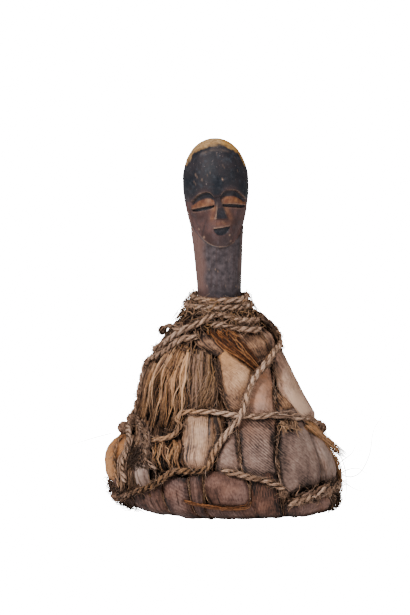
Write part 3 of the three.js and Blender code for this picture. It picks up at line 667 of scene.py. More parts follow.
# The core's very low tone is partly the old sheath's own colour and partly painted shade for the gaps where
# it shows.
paint(core, "tone", 0.12 + 0.3 * noise(ring_place, (2.5, 30), 6))
paint(core, "warm", np.full(len(height), 0.2))
add_uv(core, np.abs(angle) * 2, height)
inner_sheath = plant_finish(
    "dark_inner_sheath", dark=colour(0.006, 0.004, 0.003), middle=colour(0.035, 0.019, 0.012),
    light=colour(0.13, 0.075, 0.045), warm=colour(0.11, 0.05, 0.02), roughness=0.85, relief=0.8,
    specular=0.1,
)
finish_piece(core, inner_sheath, "inner_sheath", "packed_inner_sheaths")
torn_layers = plant_finish(
    "torn_inner_layers", dark=colour(0.007, 0.004, 0.003), middle=colour(0.1, 0.052, 0.032),
    light=colour(0.34, 0.21, 0.14), warm=colour(0.32, 0.14, 0.05), roughness=0.75, specular=0.15,
)
ROUND_STATIONS = [(206, -180, 180), (120, -180, 180), (20, -180, 180)]
mat = hanging_strips(
    ROUND_STATIONS, 270, width=(1.1, 2.8), lifts=(-9.8, -6.5), locks=120, meeting=0.0, ends=0.5, starts=0.5,
    wander=1.0, tones=(-0.05, 0.35),
)
LEFT_STATIONS = [(98, -84, -45), (76, -66, -42), (50, -57, -42), (30, -58, -43), (14, -78, -48)]
LEFT_HOLLOWS = [(-52, 63, 5, 11), (-64, 78, 3, 8)]
left_mass = hanging_strips(
    LEFT_STATIONS, 130, width=(0.7, 2.4), lifts=(-8.0, -1.5), locks=22, meeting=0.2, ends=0.3, starts=0.2,
    wander=0.8, tones=(-0.1, 0.8), warmth=0.3, hollows=LEFT_HOLLOWS,
)
EDGE_STATIONS = [(88, -122, -80), (50, -124, -98), (16, -120, -80)]
left_edge = hanging_strips(
    EDGE_STATIONS, 60, width=(0.9, 2.4), lifts=(-8.5, -4.0), locks=14, meeting=0.2, ends=0.3, starts=0.3,
    wander=0.8, tones=(0.0, 0.6), warmth=0.4,
)
UPPER_EDGE = [(164, -100, -70), (126, -100, -70), (82, -98, -66)]
upper_edge = hanging_strips(
    UPPER_EDGE, 110, width=(0.9, 2.2), lifts=(-5.0, 1.6), locks=14, meeting=0.2, ends=0.3, starts=0.2,
    wander=0.8, tones=(-0.15, 0.6), warmth=0.4,
)
RIGHT_EDGE = [(84, 80, 114), (50, 84, 116), (14, 80, 112)]
right_edge = hanging_strips(
    RIGHT_EDGE, 90, width=(0.9, 2.6), lifts=(-7.5, -1.5), locks=14, meeting=0.2, ends=0.3, starts=0.3,
    wander=0.8, tones=(-0.2, 0.5), warmth=0.5,
)
BASE_STATIONS = [(34, -180, 180), (20, -180, 180), (5, -180, 180)]
base_mat = hanging_strips(
    BASE_STATIONS, 260, width=(1.4, 3.4), lifts=(-7.5, -3.0), locks=0, meeting=0.3, ends=0.2, starts=0.2,
    wander=0.8, tones=(-0.3, 0.15),
)
inner_strips = [mat, left_mass, left_edge, upper_edge, right_edge, base_mat]
strips_piece("torn_inner_strips", inner_strips, torn_layers, "inner_sheath")

# Outer leaf sheaths
# Dry leaf bases, each a thin curved shell with fibres along it or ribs across it at a slant.
# They are laid on side by side with dark gaps, and the ropes pull them in, so they swell between; beside the
# ropes they are painted darker as shadow, and lighter between them.
ROPE_LIFT = 1.9
OVER = 5.5
ROPES = {
    "rope_neck": [
        (-165, 220, -1.5), (-90, 220, -1.5), (0, 218, -1), (90, 220, -1), (150, 217),
        (200, 213), (260, 211), (340, 211.5), (420, 211.5), (500, 210.5),
    ],
    "rope_shoulder": [
        (66, 197.5), (35, 198.5), (2.5, 205), (-12.5, 203), (-31.5, 193.5), (-47, 187),
        (-62, 175), (-84, 165), (-112, 160), (-150, 164), (-185, 172), (-222, 178),
    ],
    "rope_shoulder_low": [(56, 188.5), (44, 189), (23, 191.5), (4, 195.5), (-10, 193.5)],
    "rope_left_edge": [
        (-22, 184), (-38, 180.5), (-50, 171), (-60, 161.5), (-74, 157), (-88, 148), (-90, 128), (-90, 108),
        (-88, 92), (-78, 84), (-68, 80.5), (-62, 76), (-57, 70), (-53.5, 61), (-52, 50), (-50, 36),
    ],
    "rope_belt": [
        (-43.5, 79.5), (-38.5, 81.5), (-33.5, 84.5), (-30, 90.5), (-28.5, 97), (-31, 103),
        (-26.5, 109), (-15.5, 110.5), (-1.5, 109.5), (20.5, 105.5), (32, 106), (43, 103.5), (59, 98),
        (75, 89.5), (90, 80), (106, 79), (140, 88), (180, 94), (220, 88), (250, 80), (262, 77),
    ],
    "rope_diagonal": [
        (84, 195, 4), (90, 189, 6), (90, 181, 7), (85, 174, 5), (73, 169.5, 3), (57, 166.5, 2),
        (39.5, 156, 3), (29, 146.5, 2), (20.5, 130), (16, 120, 2), (13, 113.5, OVER), (11, 107.5, OVER),
        (8.5, 102, 3),
        (-0.5, 87), (-4, 74), (-6, 59.5), (-10, 55), (-16.5, 54.5), (-22.5, 53.5), (-27.5, 46.5),
        (-32.5, 38.5), (-39.5, 32.5), (-46.5, 25.5, 1), (-59.5, 17), (-75, 12), (-95, 11), (-116, 15),
    ],
    "rope_low_middle": [(0.5, 56), (8.5, 51.5), (15.5, 47.5), (23, 42), (29.5, 34.5)],
    "rope_base": [
        (31, 19), (35.5, 20), (42.5, 23), (52.5, 27.5), (61, 26), (75, 22),
        (100, 20), (135, 24), (170, 21), (205, 25), (232, 23),
    ],
    "rope_net_1": [(-76, 97), (-60, 90), (-51, 83.5), (-45, 74), (-39.5, 63), (-32, 53.5)],
    "rope_net_2": [(-80, 72), (-70, 64), (-64, 55), (-60, 42), (-58, 28)],
    "rope_back_cross_1": [
        (142, 160), (150, 140), (156, 120, 2), (163, 98, OVER), (168, 84, OVER), (176, 60), (184, 36),
    ],
    "rope_back_cross_2": [
        (232, 156), (224, 130), (216, 104, 2), (212, 92, OVER), (209, 82, OVER), (200, 58), (194, 38),
    ],
}
CORDS = {
    "cord_gap_right": [(36, 97), (31, 72.5), (29.5, 44)],
    "cord_gap_middle": [(8, 87), (11, 61)],
    "cord_left_middle": [(-16.5, 171), (-8, 163), (-3.5, 150), (-1.5, 141.5), (0.5, 127.5), (2.5, 116.5)],
    "cord_right_middle": [(57, 160), (49.5, 145.5), (44, 131.5), (40, 120.5), (38.5, 113)],
}
ROUTE_STEP = 1.6
LEAF_THICKNESS = 1.1
LOWEST = 0.8
RAGGED_SIZE = (9, 13)
TUCK_LENGTH = 8
TUCK_DEPTH = 2.8
CRACK_WIDTH = 0.6
CRACK_DEPTH = 1.1
CRACK_SHADE = 1.6
# How near a rope the leaf is pressed in and painted darker as the rope's shadow.
PRESS_AND_SHADOW_NEAR = 2.2
PRESS_AND_SHADOW_FAR = 6.5
PRESS_DEPTH = 1.2
SWELL_NEAR = 3.5
SWELL_FAR = 17
leaf_edges = []


def smooth_route(points, step=ROUTE_STEP):
    """Angle, height and lift along a route through its given points, a step in millimetres apart."""
    corners = np.array([[*point, 0][:3] for point in points], float)
    padded = np.vstack([2 * corners[0] - corners[1], corners, 2 * corners[-1] - corners[-2]])
    dense = []
    for index in range(len(corners) - 1):
        p0, p1, p2, p3 = padded[index : index + 4]
        t1 = np.linalg.norm(p1 - p0) ** 0.5
        t2 = t1 + np.linalg.norm(p2 - p1) ** 0.5
        t3 = t2 + np.linalg.norm(p3 - p2) ** 0.5
        t = np.linspace(t1, t2, 40, endpoint=index == len(corners) - 2)[:, None]
        a1 = p0 + (p1 - p0) * t / t1
        a2 = p1 + (p2 - p1) * (t - t1) / (t2 - t1)
        a3 = p2 + (p3 - p2) * (t - t2) / (t3 - t2)
        b1 = a1 + (a2 - a1) * t / t2
        b2 = a2 + (a3 - a2) * (t - t1) / (t3 - t1)
        dense.append(b1 + (b2 - b1) * (t - t1) / (t2 - t1))
    dense = np.vstack(dense)
    spots = bundle_point(dense[:, 0], dense[:, 1], dense[:, 2])
    run = np.concatenate([[0], np.cumsum(np.linalg.norm(np.diff(spots, axis=0), axis=1))]) / MM
    even = np.linspace(0, run[-1], max(3, round(run[-1] / step) + 1))
    return np.column_stack([np.interp(even, run, column) for column in dense.T]), even


rope_spots = np.vstack([
    bundle_point(route[:, 0], route[:, 1], route[:, 2] + ROPE_LIFT)
    for route in (smooth_route(points)[0] for points in (*ROPES.values(), *CORDS.values()))
])
rope_tree = kdtree.KDTree(len(rope_spots))
for index, spot in enumerate(rope_spots):
    rope_tree.insert(spot, index)
rope_tree.balance()


def rope_distance(points):
    """Millimetres from each point to the nearest rope."""
    return np.array([rope_tree.find(point)[2] for point in points]) / MM


def node_outline(node):
    """A sheath's left and right edges by height, in degrees round the bundle, read off its solid."""
    spots = vertices_of(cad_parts[node]) / MM
    across = spots[:, 0] - read_table(BUNDLE_MIDDLE, spots[:, 2])
    forward = -spots[:, 1] / PLAN_DEPTH
    centre = np.degrees(np.arctan2(across.mean(), forward.mean()))
    angles = centre + (np.degrees(np.arctan2(across, forward)) - centre + 180) % 360 - 180
    levels = np.unique(np.round(spots[:, 2], 1))
    rows = [angles[np.abs(spots[:, 2] - level) < 0.1] for level in levels]
    return levels, np.array([row.min() for row in rows]), np.array([row.max() for row in rows])


def leaf(node, finish, slot="leaf_sheath", spacing=1.2, sides=(1.2, 1.2), ends=(7.0, 8.0), tilt=0.6,
         crown=-2.4, rim=-6.6, swell=2.2, roll=6.0, ribs=None, folds=None, cracks=1, tone=0.5, warm=0.1,
         top_tone=0.0, top_warm=0.0, middle_warm=0.0, marks=(), seed=1, slope=0.0, grain_turn=0.0):
    """One leaf sheath as a thin curved shell over its solid, with its ends tucked under the ropes.
    sides and ends are how far it reaches past its solid, and crown and rim how high it stands.
    ribs are their slant, pitch, depth and the share of the height where they fade out, and folds are
    a pitch and a depth. Each mark is an angle, a height, a half width and a half height, then how
    deep it is pressed in and how much darker it is."""
    chance = np.random.default_rng(seed)
    levels, lefts, rights = node_outline(node)
    bottom, top = max(levels[0] - ends[0], LOWEST), levels[-1] + ends[1]
    columns = max(10, round(((rights - lefts) * degree_length(levels)).max() / spacing))
    rows = max(10, round((top - bottom) * 1.15 / spacing))
    bpy.ops.object.select_all(action="DESELECT")
    bpy.ops.mesh.primitive_grid_add(x_subdivisions=columns, y_subdivisions=rows, size=2)
    piece = bpy.context.object
    piece.name = node + "_leaf"
    flat = vertices_of(piece)
    side = flat[:, 0]
    v = flat[:, 1] / 2 + 0.5
    height = bottom + (top - bottom) * v
    degree = degree_length(height)
    edge_place = np.column_stack([np.zeros_like(height), height])
    left_reach = sides[0] + noise(edge_place, RAGGED_SIZE, seed)
    right_reach = sides[1] + noise(edge_place, RAGGED_SIZE, seed + 1)
    left = np.interp(height, levels, lefts) - left_reach / degree
    right = np.interp(height, levels, rights) + right_reach / degree
    angle = (left + right) / 2 + (right - left) / 2 * side
    across_mm = side * (right - left) / 2 * degree
    along_mm = (height - bottom) * 1.1
    local = np.column_stack([across_mm, along_mm])
    to_end = np.minimum(v, 1 - v) * (top - bottom)
    end_side = np.sign(v - 0.5) * ramp(np.abs(v - 0.5), 0.3, 0.5)
    height = height + end_side * 1.6 * noise(np.column_stack([across_mm, end_side]), (4, 9), seed + 3)
    height = np.maximum(height + slope * side * np.abs(end_side), LOWEST)
    hump = np.sqrt(np.clip(1 - np.abs(side) ** roll, 0, 1))
    lift = rim + (crown - rim) * hump + tilt * side - TUCK_DEPTH * (1 - ramp(to_end, 0, TUCK_LENGTH))
    lift += 1.0 * noise(local, (12, 22), seed + 5) * hump + 0.15 * noise(local, (2.6, 22), seed + 6)
    # Painted shade: the troughs of the folds and ribs, the cracks and the pressed-in marks are painted
    # darker; marks that are not pressed in are patches painted darker or lighter.
    groove_and_mark_shading = np.zeros_like(lift)
    if folds:
        pitch, depth = folds
        wave = np.sin(2 * np.pi * across_mm / pitch + 2.2 * noise(local, (9, 60), seed + 7))
        lift += depth * wave
        groove_and_mark_shading += (0.5 - 0.5 * wave) * min(1, depth * 3)
    if ribs:
        slant, pitch, depth, fading = ribs
        slanting = across_mm * math.sin(math.radians(slant)) + along_mm * math.cos(math.radians(slant))
        wave = np.sin(2 * np.pi * slanting / pitch + 1.3 * noise(local, (12, 12), seed + 8))
        faded_out = ramp(v, fading - 0.06, fading + 0.06)
        strength = ramp(noise(local, (15, 18), seed + 9), -0.8, 0.3) * (1 - 0.85 * faded_out)
        lift += depth * wave * strength
        groove_and_mark_shading += (1 - wave) * strength * min(1, depth * 7)
    for mark_angle, mark_height, wide, tall, depth, dark in marks:
        mark = line(np.hypot((angle - mark_angle) * degree / wide, (height - mark_height) / tall), 1.0)
        lift -= depth * mark
        groove_and_mark_shading += dark * mark
    half_width = np.abs(across_mm).max()
    for _ in range(cracks):
        where = chance.uniform(-0.8, 0.8) * half_width + 1.2 * noise(edge_place, (9, 16), chance.integers(99))
        first = chance.uniform(0, 0.6)
        reach = ramp(v, first, first + 0.08) * (1 - ramp(v, first + chance.uniform(0.2, 0.5), first + 0.6))
        crack = line(across_mm - where, CRACK_WIDTH) * reach
        lift -= CRACK_DEPTH * crack
        groove_and_mark_shading += CRACK_SHADE * crack
    # Near a rope the leaf is pressed in and painted darker, a painted rope shadow; away from the ropes it
    # swells and is painted lighter.
    near = rope_distance(bundle_point(angle, height, lift))
    free = ramp(near, SWELL_NEAR, SWELL_FAR)
    pressed_and_rope_shadow = 1 - ramp(near, PRESS_AND_SHADOW_NEAR, PRESS_AND_SHADOW_FAR)
    puckers = 0.5 * noise(local, (2.4, 13), seed + 10) * (1 - free)
    lift += swell * free * hump - PRESS_DEPTH * pressed_and_rope_shadow + puckers
    set_vertices(piece, bundle_point(angle, height, lift))
    # Painted light and shade at the edges: a dark band just in from each side, darker ends where they tuck
    # under the ropes, and a thin pale rim on the very edge as a painted highlight.
    to_side = (1 - np.abs(side)) * (right - left) / 2 * degree
    edge = line(to_side - 2.6, 1.5) - 0.9 * (1 - ramp(to_side, 0.5, 1.4)) + 0.9 * (1 - ramp(to_end, 1, 7))
    shade = tone + top_tone * (v - 0.5) - 0.26 * groove_and_mark_shading - 0.4 * pressed_and_rope_shadow - 0.28 * edge
    paint(piece, "tone", shade + 0.1 * noise(local, (9, 20), seed + 11) + 0.16 * free - 0.08)
    warmth = warm + top_warm * (v - 0.5) + middle_warm * line(side, 0.5)
    warmth = warmth + 0.22 * noise(local, (11, 15), seed + 12)
    paint(piece, "warm", np.clip(warmth, 0, 1))
    cosine, sine = math.cos(math.radians(grain_turn)), math.sin(math.radians(grain_turn))
    add_uv(piece, across_mm * cosine - along_mm * sine, across_mm * sine + along_mm * cosine)
    for edge_side in (-1, 1):
        rows_there = np.flatnonzero(side * edge_side > 0.999)
        rows_there = rows_there[np.argsort(v[rows_there])]
        leaf_edges.append(np.column_stack([angle, height, lift])[rows_there])
    shell = piece.modifiers.new("leaf_thickness", "SOLIDIFY")
    shell.thickness = LEAF_THICKNESS * MM
    shell.offset = -1
    bpy.ops.object.modifier_apply(modifier=shell.name)
    finish_piece(piece, finish, slot, node)


tan_leaf = plant_finish(
    "tan_leaf_sheath", dark=colour(0.016, 0.007, 0.004), middle=colour(0.3, 0.155, 0.088),
    light=colour(0.7, 0.45, 0.28), warm=colour(0.55, 0.25, 0.09),
)
grey_leaf = plant_finish(
    "grey_brown_leaf_sheath", dark=colour(0.012, 0.006, 0.004), middle=colour(0.165, 0.099, 0.077),
    light=colour(0.4, 0.28, 0.225), warm=colour(0.44, 0.19, 0.095),
)
silky_leaf = plant_finish(
    "silky_pale_leaf_sheath", dark=colour(0.02, 0.01, 0.008), middle=colour(0.32, 0.17, 0.115),
    light=colour(0.72, 0.48, 0.35), warm=colour(0.55, 0.29, 0.12), roughness=0.48, relief=0.25,
    specular=0.35,
)
red_leaf = plant_finish(
    "red_brown_leaf_sheath", dark=colour(0.006, 0.003, 0.0025), middle=colour(0.08, 0.039, 0.031),
    light=colour(0.24, 0.145, 0.12), warm=colour(0.28, 0.095, 0.033),
)
orange_leaf = plant_finish(
    "orange_leaf_sheath", dark=colour(0.05, 0.018, 0.008), middle=colour(0.3, 0.125, 0.05),
    light=colour(0.52, 0.28, 0.13), warm=colour(0.46, 0.18, 0.055),
)

leaf(
    "sheath_fanned_left", tan_leaf, spacing=1.0, sides=(1, 1), folds=(5.2, 0.9), tone=0.2, warm=0.25,
    seed=11,
)
leaf(
    "sheath_polished_left", silky_leaf, spacing=0.8, ends=(5, 7), folds=(2.1, 0.3), swell=4.2, roll=3.5,
    cracks=8, tone=0.66, warm=0.5, top_warm=0.3, marks=[(-9, 80, 4, 26, 0, 0.4), (-20, 68, 9, 14, 0, 0.5)],
    seed=12,
)
leaf(
    "sheath_strip_left", tan_leaf, spacing=1.0, sides=(0.4, 0.4), ends=(8, 7), folds=(3.0, 0.35), tone=0.36,
    warm=0.25, seed=13,
)
leaf(
    "sheath_tan_middle", tan_leaf, spacing=0.85, sides=(1.5, 5.5), ends=(6, 12), grain_turn=-40, cracks=0,
    ribs=(44, 2.4, 0.06, 0.7), tone=0.61, warm=0.4, top_tone=0.1, top_warm=1.4,
    marks=[(20, 142, 9, 13, 0, -1.2), (5, 122, 9, 10, 0.6, 0.4), (3, 152, 6, 12, 0, 0.4)], seed=14,
)
leaf(
    "sheath_ribbed_middle", grey_leaf, spacing=0.7, sides=(1.4, 1.9), ends=(5, 8), grain_turn=-54, cracks=0,
    ribs=(43, 2.3, 0.12, 0.56), tone=0.66, warm=0.6, top_tone=0.4, top_warm=1.5, middle_warm=-0.25,
    marks=[
        (29, 82, 4, 5, 2.2, 1.5), (24.5, 46, 4, 5, 2.2, 1.6), (14, 92, 9, 12, 0, 0.3),
        (26, 122, 9, 9, 0, -0.6), (16, 62, 8, 9, 0, -0.6), (30, 97, 12, 5, 0, 0.9),
    ],
    seed=15,
)
leaf(
    "sheath_wedge_middle", grey_leaf, spacing=0.75, ends=(6, 8), grain_turn=-54, cracks=0,
    ribs=(43, 2.3, 0.12, 1.2), tone=0.56, warm=0.25, seed=16,
)
leaf(
    "sheath_grey_right", grey_leaf, spacing=0.88, sides=(2.9, 1.8), ends=(6, 8), grain_turn=-50, cracks=0,
    ribs=(42, 2.3, 0.08, 1.2), tone=0.52, warm=-0.1, top_tone=0.1,
    marks=[(41, 93, 9, 8, 0, 1.6), (44, 30, 24, 14, 0, 0.8), (50, 62, 12, 18, 0, -0.5)], seed=17,
)
# The smooth leaf's first mark is a painted highlight: a wide patch low on the leaf, near the belt, painted
# much lighter.
leaf(
    "sheath_smooth_right", silky_leaf, spacing=1.2, sides=(4, 3), ends=(7, 9), folds=(6.0, 0.1), crown=1.6,
    swell=1.4, roll=3.0, cracks=0, tone=0.55, warm=0.28, top_warm=-0.2,
    marks=[(64, 108, 14, 16, 0, -3.2), (80, 160, 12, 16, 0, 0.5)], seed=18,
)
leaf(
    "sheath_edge_right", grey_leaf, sides=(1.6, 3), ends=(6, 8), folds=(5.0, 0.1), crown=-1.2, cracks=0,
    tone=0.66, warm=0.12, seed=19,
)
leaf(
    "sheath_frayed_corner", tan_leaf, spacing=1.0, sides=(2, 3), ends=(5, 5), folds=(3.0, 0.6), tone=0.42,
    warm=0.5, seed=20,
)
leaf(
    "sheath_dark_shoulder", tan_leaf, spacing=0.9, sides=(2, 2), ends=(4, 10), folds=(2.6, 0.4), tone=0.42,
    warm=0.18, top_tone=0.3, marks=[(40, 162, 6, 12, 0.5, 0.2), (32, 178, 6, 9, 0, 0.2)], seed=21,
)
leaf(
    "sheath_small_left", grey_leaf, spacing=1.0, sides=(1.8, 1.8), ends=(6, 8), folds=(4.0, 0.2), tone=0.9,
    warm=0.0, seed=22,
)
leaf(
    "sheath_bulging_left", orange_leaf, spacing=1.0, sides=(3, 42), ends=(6, 6), folds=(6.0, 0.15),
    crown=3.0, swell=0.8, roll=4.5, cracks=5, tone=0.78, warm=0.75, marks=[(-88, 34, 12, 9, 0, 0.8)],
    seed=23,
)
BACK_LEAVES = 7
back_finishes = (grey_leaf, tan_leaf, silky_leaf)
for index in range(BACK_LEAVES):
    leaf(
        f"sheath_back_{index + 1}", back_finishes[index % 3], spacing=1.7, sides=(1.9, 1.9), ends=(6, 10),
        tilt=1.2, folds=(5.5 + index % 3, 0.25), tone=0.48, warm=0.15 + 0.1 * (index % 2), seed=30 + index,
    )

# Sheath ends folded in round the base
# The lower ends of the leaves are bent under to make the round foot that the bundle stands on.
# They are darker and redder than the leaves above, with orange torn lips.
FOLD_RIM = -5.8
FOLD_LOOKS = {
    "fold_front_under": {"sides": (5, 5), "ends": (3, 6), "tone": 0.6, "folds": (3.4, 0.3), "crown": -4.2},
    "fold_front_1": {
        "sides": (9, 1), "ends": (5, 12), "tone": 0.56, "folds": (6.0, 0.3), "slope": 3, "cracks": 5,
        "marks": [(-38, 18, 6, 9, 0, -0.6), (-46, 16, 8, 8, 0, 0.5)],
    },
    "fold_front_2": {
        "ends": (3, 13), "tone": 0.62, "ribs": (32, 3.6, 0.06, 1.2), "warm": 0.1, "swell": 3.4,
        "marks": [(-20, 8, 5, 9, 0, 0.9), (-28, 12, 6, 20, 0, 0.9)],
    },
    "fold_front_3": {"sides": (1.0, 1.0), "ends": (3, 8), "tone": 0.55, "folds": (4.0, 0.35), "crown": -0.5},
    "fold_front_oval": {
        "sides": (1.5, 1.5), "ends": (3, 7), "tone": 0.56, "warm": 0.25, "swell": 3.6, "roll": 3.0,
        "marks": [(6, 36, 12, 9, 0, -0.7), (-6, 30, 9, 12, 0, 1.0)],
    },
    "fold_front_4": {
        "sides": (1.6, 1.6), "ends": (3, 6), "tone": 0.5, "ribs": (78, 2.6, 0.3, 1.2), "warm": 0.3,
    },
    "fold_front_5": {
        "sides": (2, 9), "ends": (3, 7), "tone": 0.72, "ribs": (80, 3.0, 0.1, 1.2), "warm": 0.2,
        "crown": 4.5, "swell": 1.0, "marks": [(33, 8, 9, 12, 0, 0.9)],
    },
}
for index, (node, look) in enumerate(FOLD_LOOKS.items()):
    leaf(node, red_leaf, "folded_sheath", rim=FOLD_RIM, tilt=0.8, seed=50 + index, **look)
for index in range(BACK_LEAVES):
    leaf(
        f"fold_back_{index + 1}", red_leaf, "folded_sheath", spacing=1.6, sides=(2.0, 2.0), ends=(3, 12),
        tilt=1.2, rim=FOLD_RIM, folds=(5.0, 0.25), tone=0.5, warm=0.15, seed=60 + index,
    )
leaf(
    "sheath_tip_shoulder", tan_leaf, spacing=0.9, sides=(2, 3), ends=(3, 2), folds=(4.0, 0.2), rim=-2.2,
    crown=1.0, roll=3.0, cracks=1, tone=0.42, warm=0.0,
    marks=[(-12, 172, 5, 7, 0, 0.5), (-4, 168, 6, 10, 0, 0.8)], seed=70,
)

# Split fibres along the leaf edges
# Each leaf edge has dried and split into thin fibres that follow it and stand off a little.
# They are part of the leaves, and break up every straight edge.
EDGE_FIBRES = 12
EDGE_STEPS = 7
EDGE_REACH = (6, 24)
EDGE_WIDTH = (0.18, 0.5)
EDGE_LIFT = 0.8
EDGE_STAND = 3.0


def edge_fibres(edges, count):
    """Thin fibres that leave each leaf edge at a random place and run beside it."""
    stations = []
    for edge in edges:
        mm_per_row = max(np.ptp(edge[:, 1]) / len(edge), 0.3)
        start = dice.uniform(0, len(edge) - 1, (count, 1))
        heading = dice.choice([-1, 1], (count, 1))
        reach = dice.uniform(*EDGE_REACH, (count, 1)) / mm_per_row
        t = np.linspace(0, 1, EDGE_STEPS)
        rows = np.clip(start + heading * reach * t, 0, len(edge) - 1)
        path = np.stack([np.interp(rows, np.arange(len(edge)), column) for column in edge.T], axis=-1)
        path[:, :, 0] += dice.normal(0, 1.1, (count, 1)) * t / degree_length(path[:, :, 1])
        path[:, :, 1] += heading * 0.02 * np.arange(EDGE_STEPS)
        path[:, :, 2] += EDGE_LIFT + dice.uniform(0, EDGE_STAND, (count, 1)) * t**1.5
        stations.append(path)
    stations = np.concatenate(stations)
    total = len(stations)
    widths = dice.uniform(*EDGE_WIDTH, (total, 1)) * taper(EDGE_STEPS, 0.3, 0.4)
    angle, height, lift = np.moveaxis(stations, -1, 0)
    made = strips(bundle_point(angle, height, lift), bundle_normal(angle, height), widths, widths * 0.6)
    return made, dice.uniform(0.2, 0.8, total), dice.uniform(0, 0.8, total)


loose_fibre = plant_finish(
    "loose_plant_fibre", dark=colour(0.03, 0.015, 0.009), middle=colour(0.27, 0.15, 0.095),
    light=colour(0.6, 0.42, 0.31), warm=colour(0.5, 0.25, 0.09), fibre=2.2,
)
strips_piece("split_edge_fibres", [edge_fibres(leaf_edges, EDGE_FIBRES)], loose_fibre, "leaf_sheath")

# Ropes
# Two-ply rope, twisted by hand from strips of the same leaf, and fuzzy with loose ends.
# It runs round the neck, the shoulder, the waist and the base, with knots where lengths are tied.
PLY_RADIUS = 1.8
PLY_OFFSET = 1.65
PLY_PITCH = 17.0
PLY_SIDES = 12
HAIR_RADIUS = (0.14, 0.26)
HAIR_STAND = (0.05, 0.6)
HAIR_STEPS = 4
BUNCH_STEPS = 11
BUNCH_THINNEST = 0.15
CHANGE_SHARE = 0.04
KNOT_TURNS = ((0.3, 0.62), (1.35, 0.7), (2.4, 0.55))
KNOT_STEPS = 28
KNOT_SIDES = 8
KNOT_ENDS = 34
KNOTS = {
    "rope_diagonal": [(80, 197, 2, 6.0, 0.3), (89, 187, 4, 7.0, 0.2), (-66, 15, 3.4, 6.0, 0.36)],
    "rope_low_middle": [(29, 29.5, 2.6, 4.8, 0.36)],
    "rope_left_edge": [
        (-85, 81, 7.0, 6.6, 0.4), (-84, 91, 5.0, 5.4, 0.4), (-84, 150, 4, 4.0, 0.36),
        (-87, 118, 4, 4.2, 0.36),
    ],
    "rope_belt": [(66, 95.5, 2.6, 3.6, 0.45), (80, 85, 3, 5.2, 0.45), (88, 80, 4, 5.4, 0.36)],
    "rope_base": [(48, 22, 3.4, 4.6, 0.3), (57, 23, 4.4, 5.4, 0.5), (69, 13, 4.0, 6.0, -0.15)],
    "rope_shoulder": [(-82, 184.5, 7, 5.0, 0.08)],
}
FREE_END = [(-45, 187.5, 2), (-58, 191, 3.5), (-72, 190, 5), (-82, 184.5, 7)]
LONG_FADE = [(0, -0.05), (0.12, 0.16), (0.42, 0.18), (0.49, -0.3), (0.66, -0.4), (1, -0.2)]


def hairs(roots, outward, lengthwise, length=(4, 11)):
    """Short loose fibres that leave their roots mostly lengthwise, each with its own bend."""
    count = len(roots)
    sign = dice.choice([-1, 1], count)[:, None]
    leaning = lengthwise * sign + outward * dice.uniform(*HAIR_STAND, (count, 1))
    heading = unit(leaning + dice.normal(0, 0.3, (count, 3)))
    bend = dice.normal(0, 0.4, (count, 3))
    reach = dice.uniform(*length, (count, 1, 1)) * MM
    t = np.linspace(0, 1, HAIR_STEPS)[None, :, None]
    paths = roots[:, None] + reach * (heading[:, None] * t + bend[:, None] * t**2 * 0.6)
    widths = dice.uniform(*HAIR_RADIUS, (count, 1)) * taper(HAIR_STEPS, 0.4, 0.2)
    made = strips(paths, np.repeat(outward[:, None], HAIR_STEPS, axis=1), widths, widths, 3)
    return made, dice.uniform(0.2, 0.85, count), dice.uniform(0, 0.7, count)


def bunch(route_points, count, spread, width, lifts, tones, warmth, reach=(0.4, 1.0), wander=0.5):
    """Loose strands that run side by side along a route, each over its own part of the length."""
    route, _ = smooth_route(route_points, 2.5)
    share = np.linspace(0, 1, len(route))
    span = dice.uniform(*reach, (count, 1))
    t = dice.uniform(0, 1, (count, 1)) * (1 - span) + span * np.linspace(0, 1, BUNCH_STEPS)
    angle, height, lift = (np.interp(t, share, column) for column in route.T)
    degree = degree_length(height)
    turn = np.arctan2(np.gradient(height, axis=1), np.gradient(angle, axis=1) * degree)
    off = dice.uniform(-spread, spread, (count, 1)) * (1 - 0.3 * np.abs(t - 0.5))
    off = off + np.cumsum(dice.normal(0, wander, (count, BUNCH_STEPS)), axis=1)
    angle, height = angle - off * np.sin(turn) / degree, height + off * np.cos(turn)
    layer = dice.uniform(0, 1, (count, 1))
    lift = lift + lifts[0] + (lifts[1] - lifts[0]) * layer
    lift = lift + np.cumsum(dice.normal(0, 0.25, (count, BUNCH_STEPS)), axis=1)
    widths = dice.uniform(*width, (count, 1)) * taper(BUNCH_STEPS, 0.3, 0.7)
    out = bundle_normal(angle, height) + dice.normal(0, 0.35, (count, 1, 3))
    places = bundle_point(angle, np.maximum(height, LOWEST + 0.5), lift)
    made = strips(places, out, widths, np.maximum(widths * 0.4, BUNCH_THINNEST))
    tone = tones[0] + (tones[1] - tones[0]) * (0.6 * layer[:, 0] + 0.4 * dice.uniform(0, 1, count))
    return made, tone, np.clip(warmth + dice.normal(0, 0.2, count), 0, 1)


def rope_noise(run, size, seed):
    return noise(np.column_stack([run, np.full_like(run, seed * 9.0)]), (size, 9), seed)


def between(value, ends, softness):
    """1 between two ends and 0 outside them, with a soft change at each."""
    start, stop = ends
    after = ramp(value, start - softness, start + softness)
    return after * (1 - ramp(value, stop - softness, stop + softness))


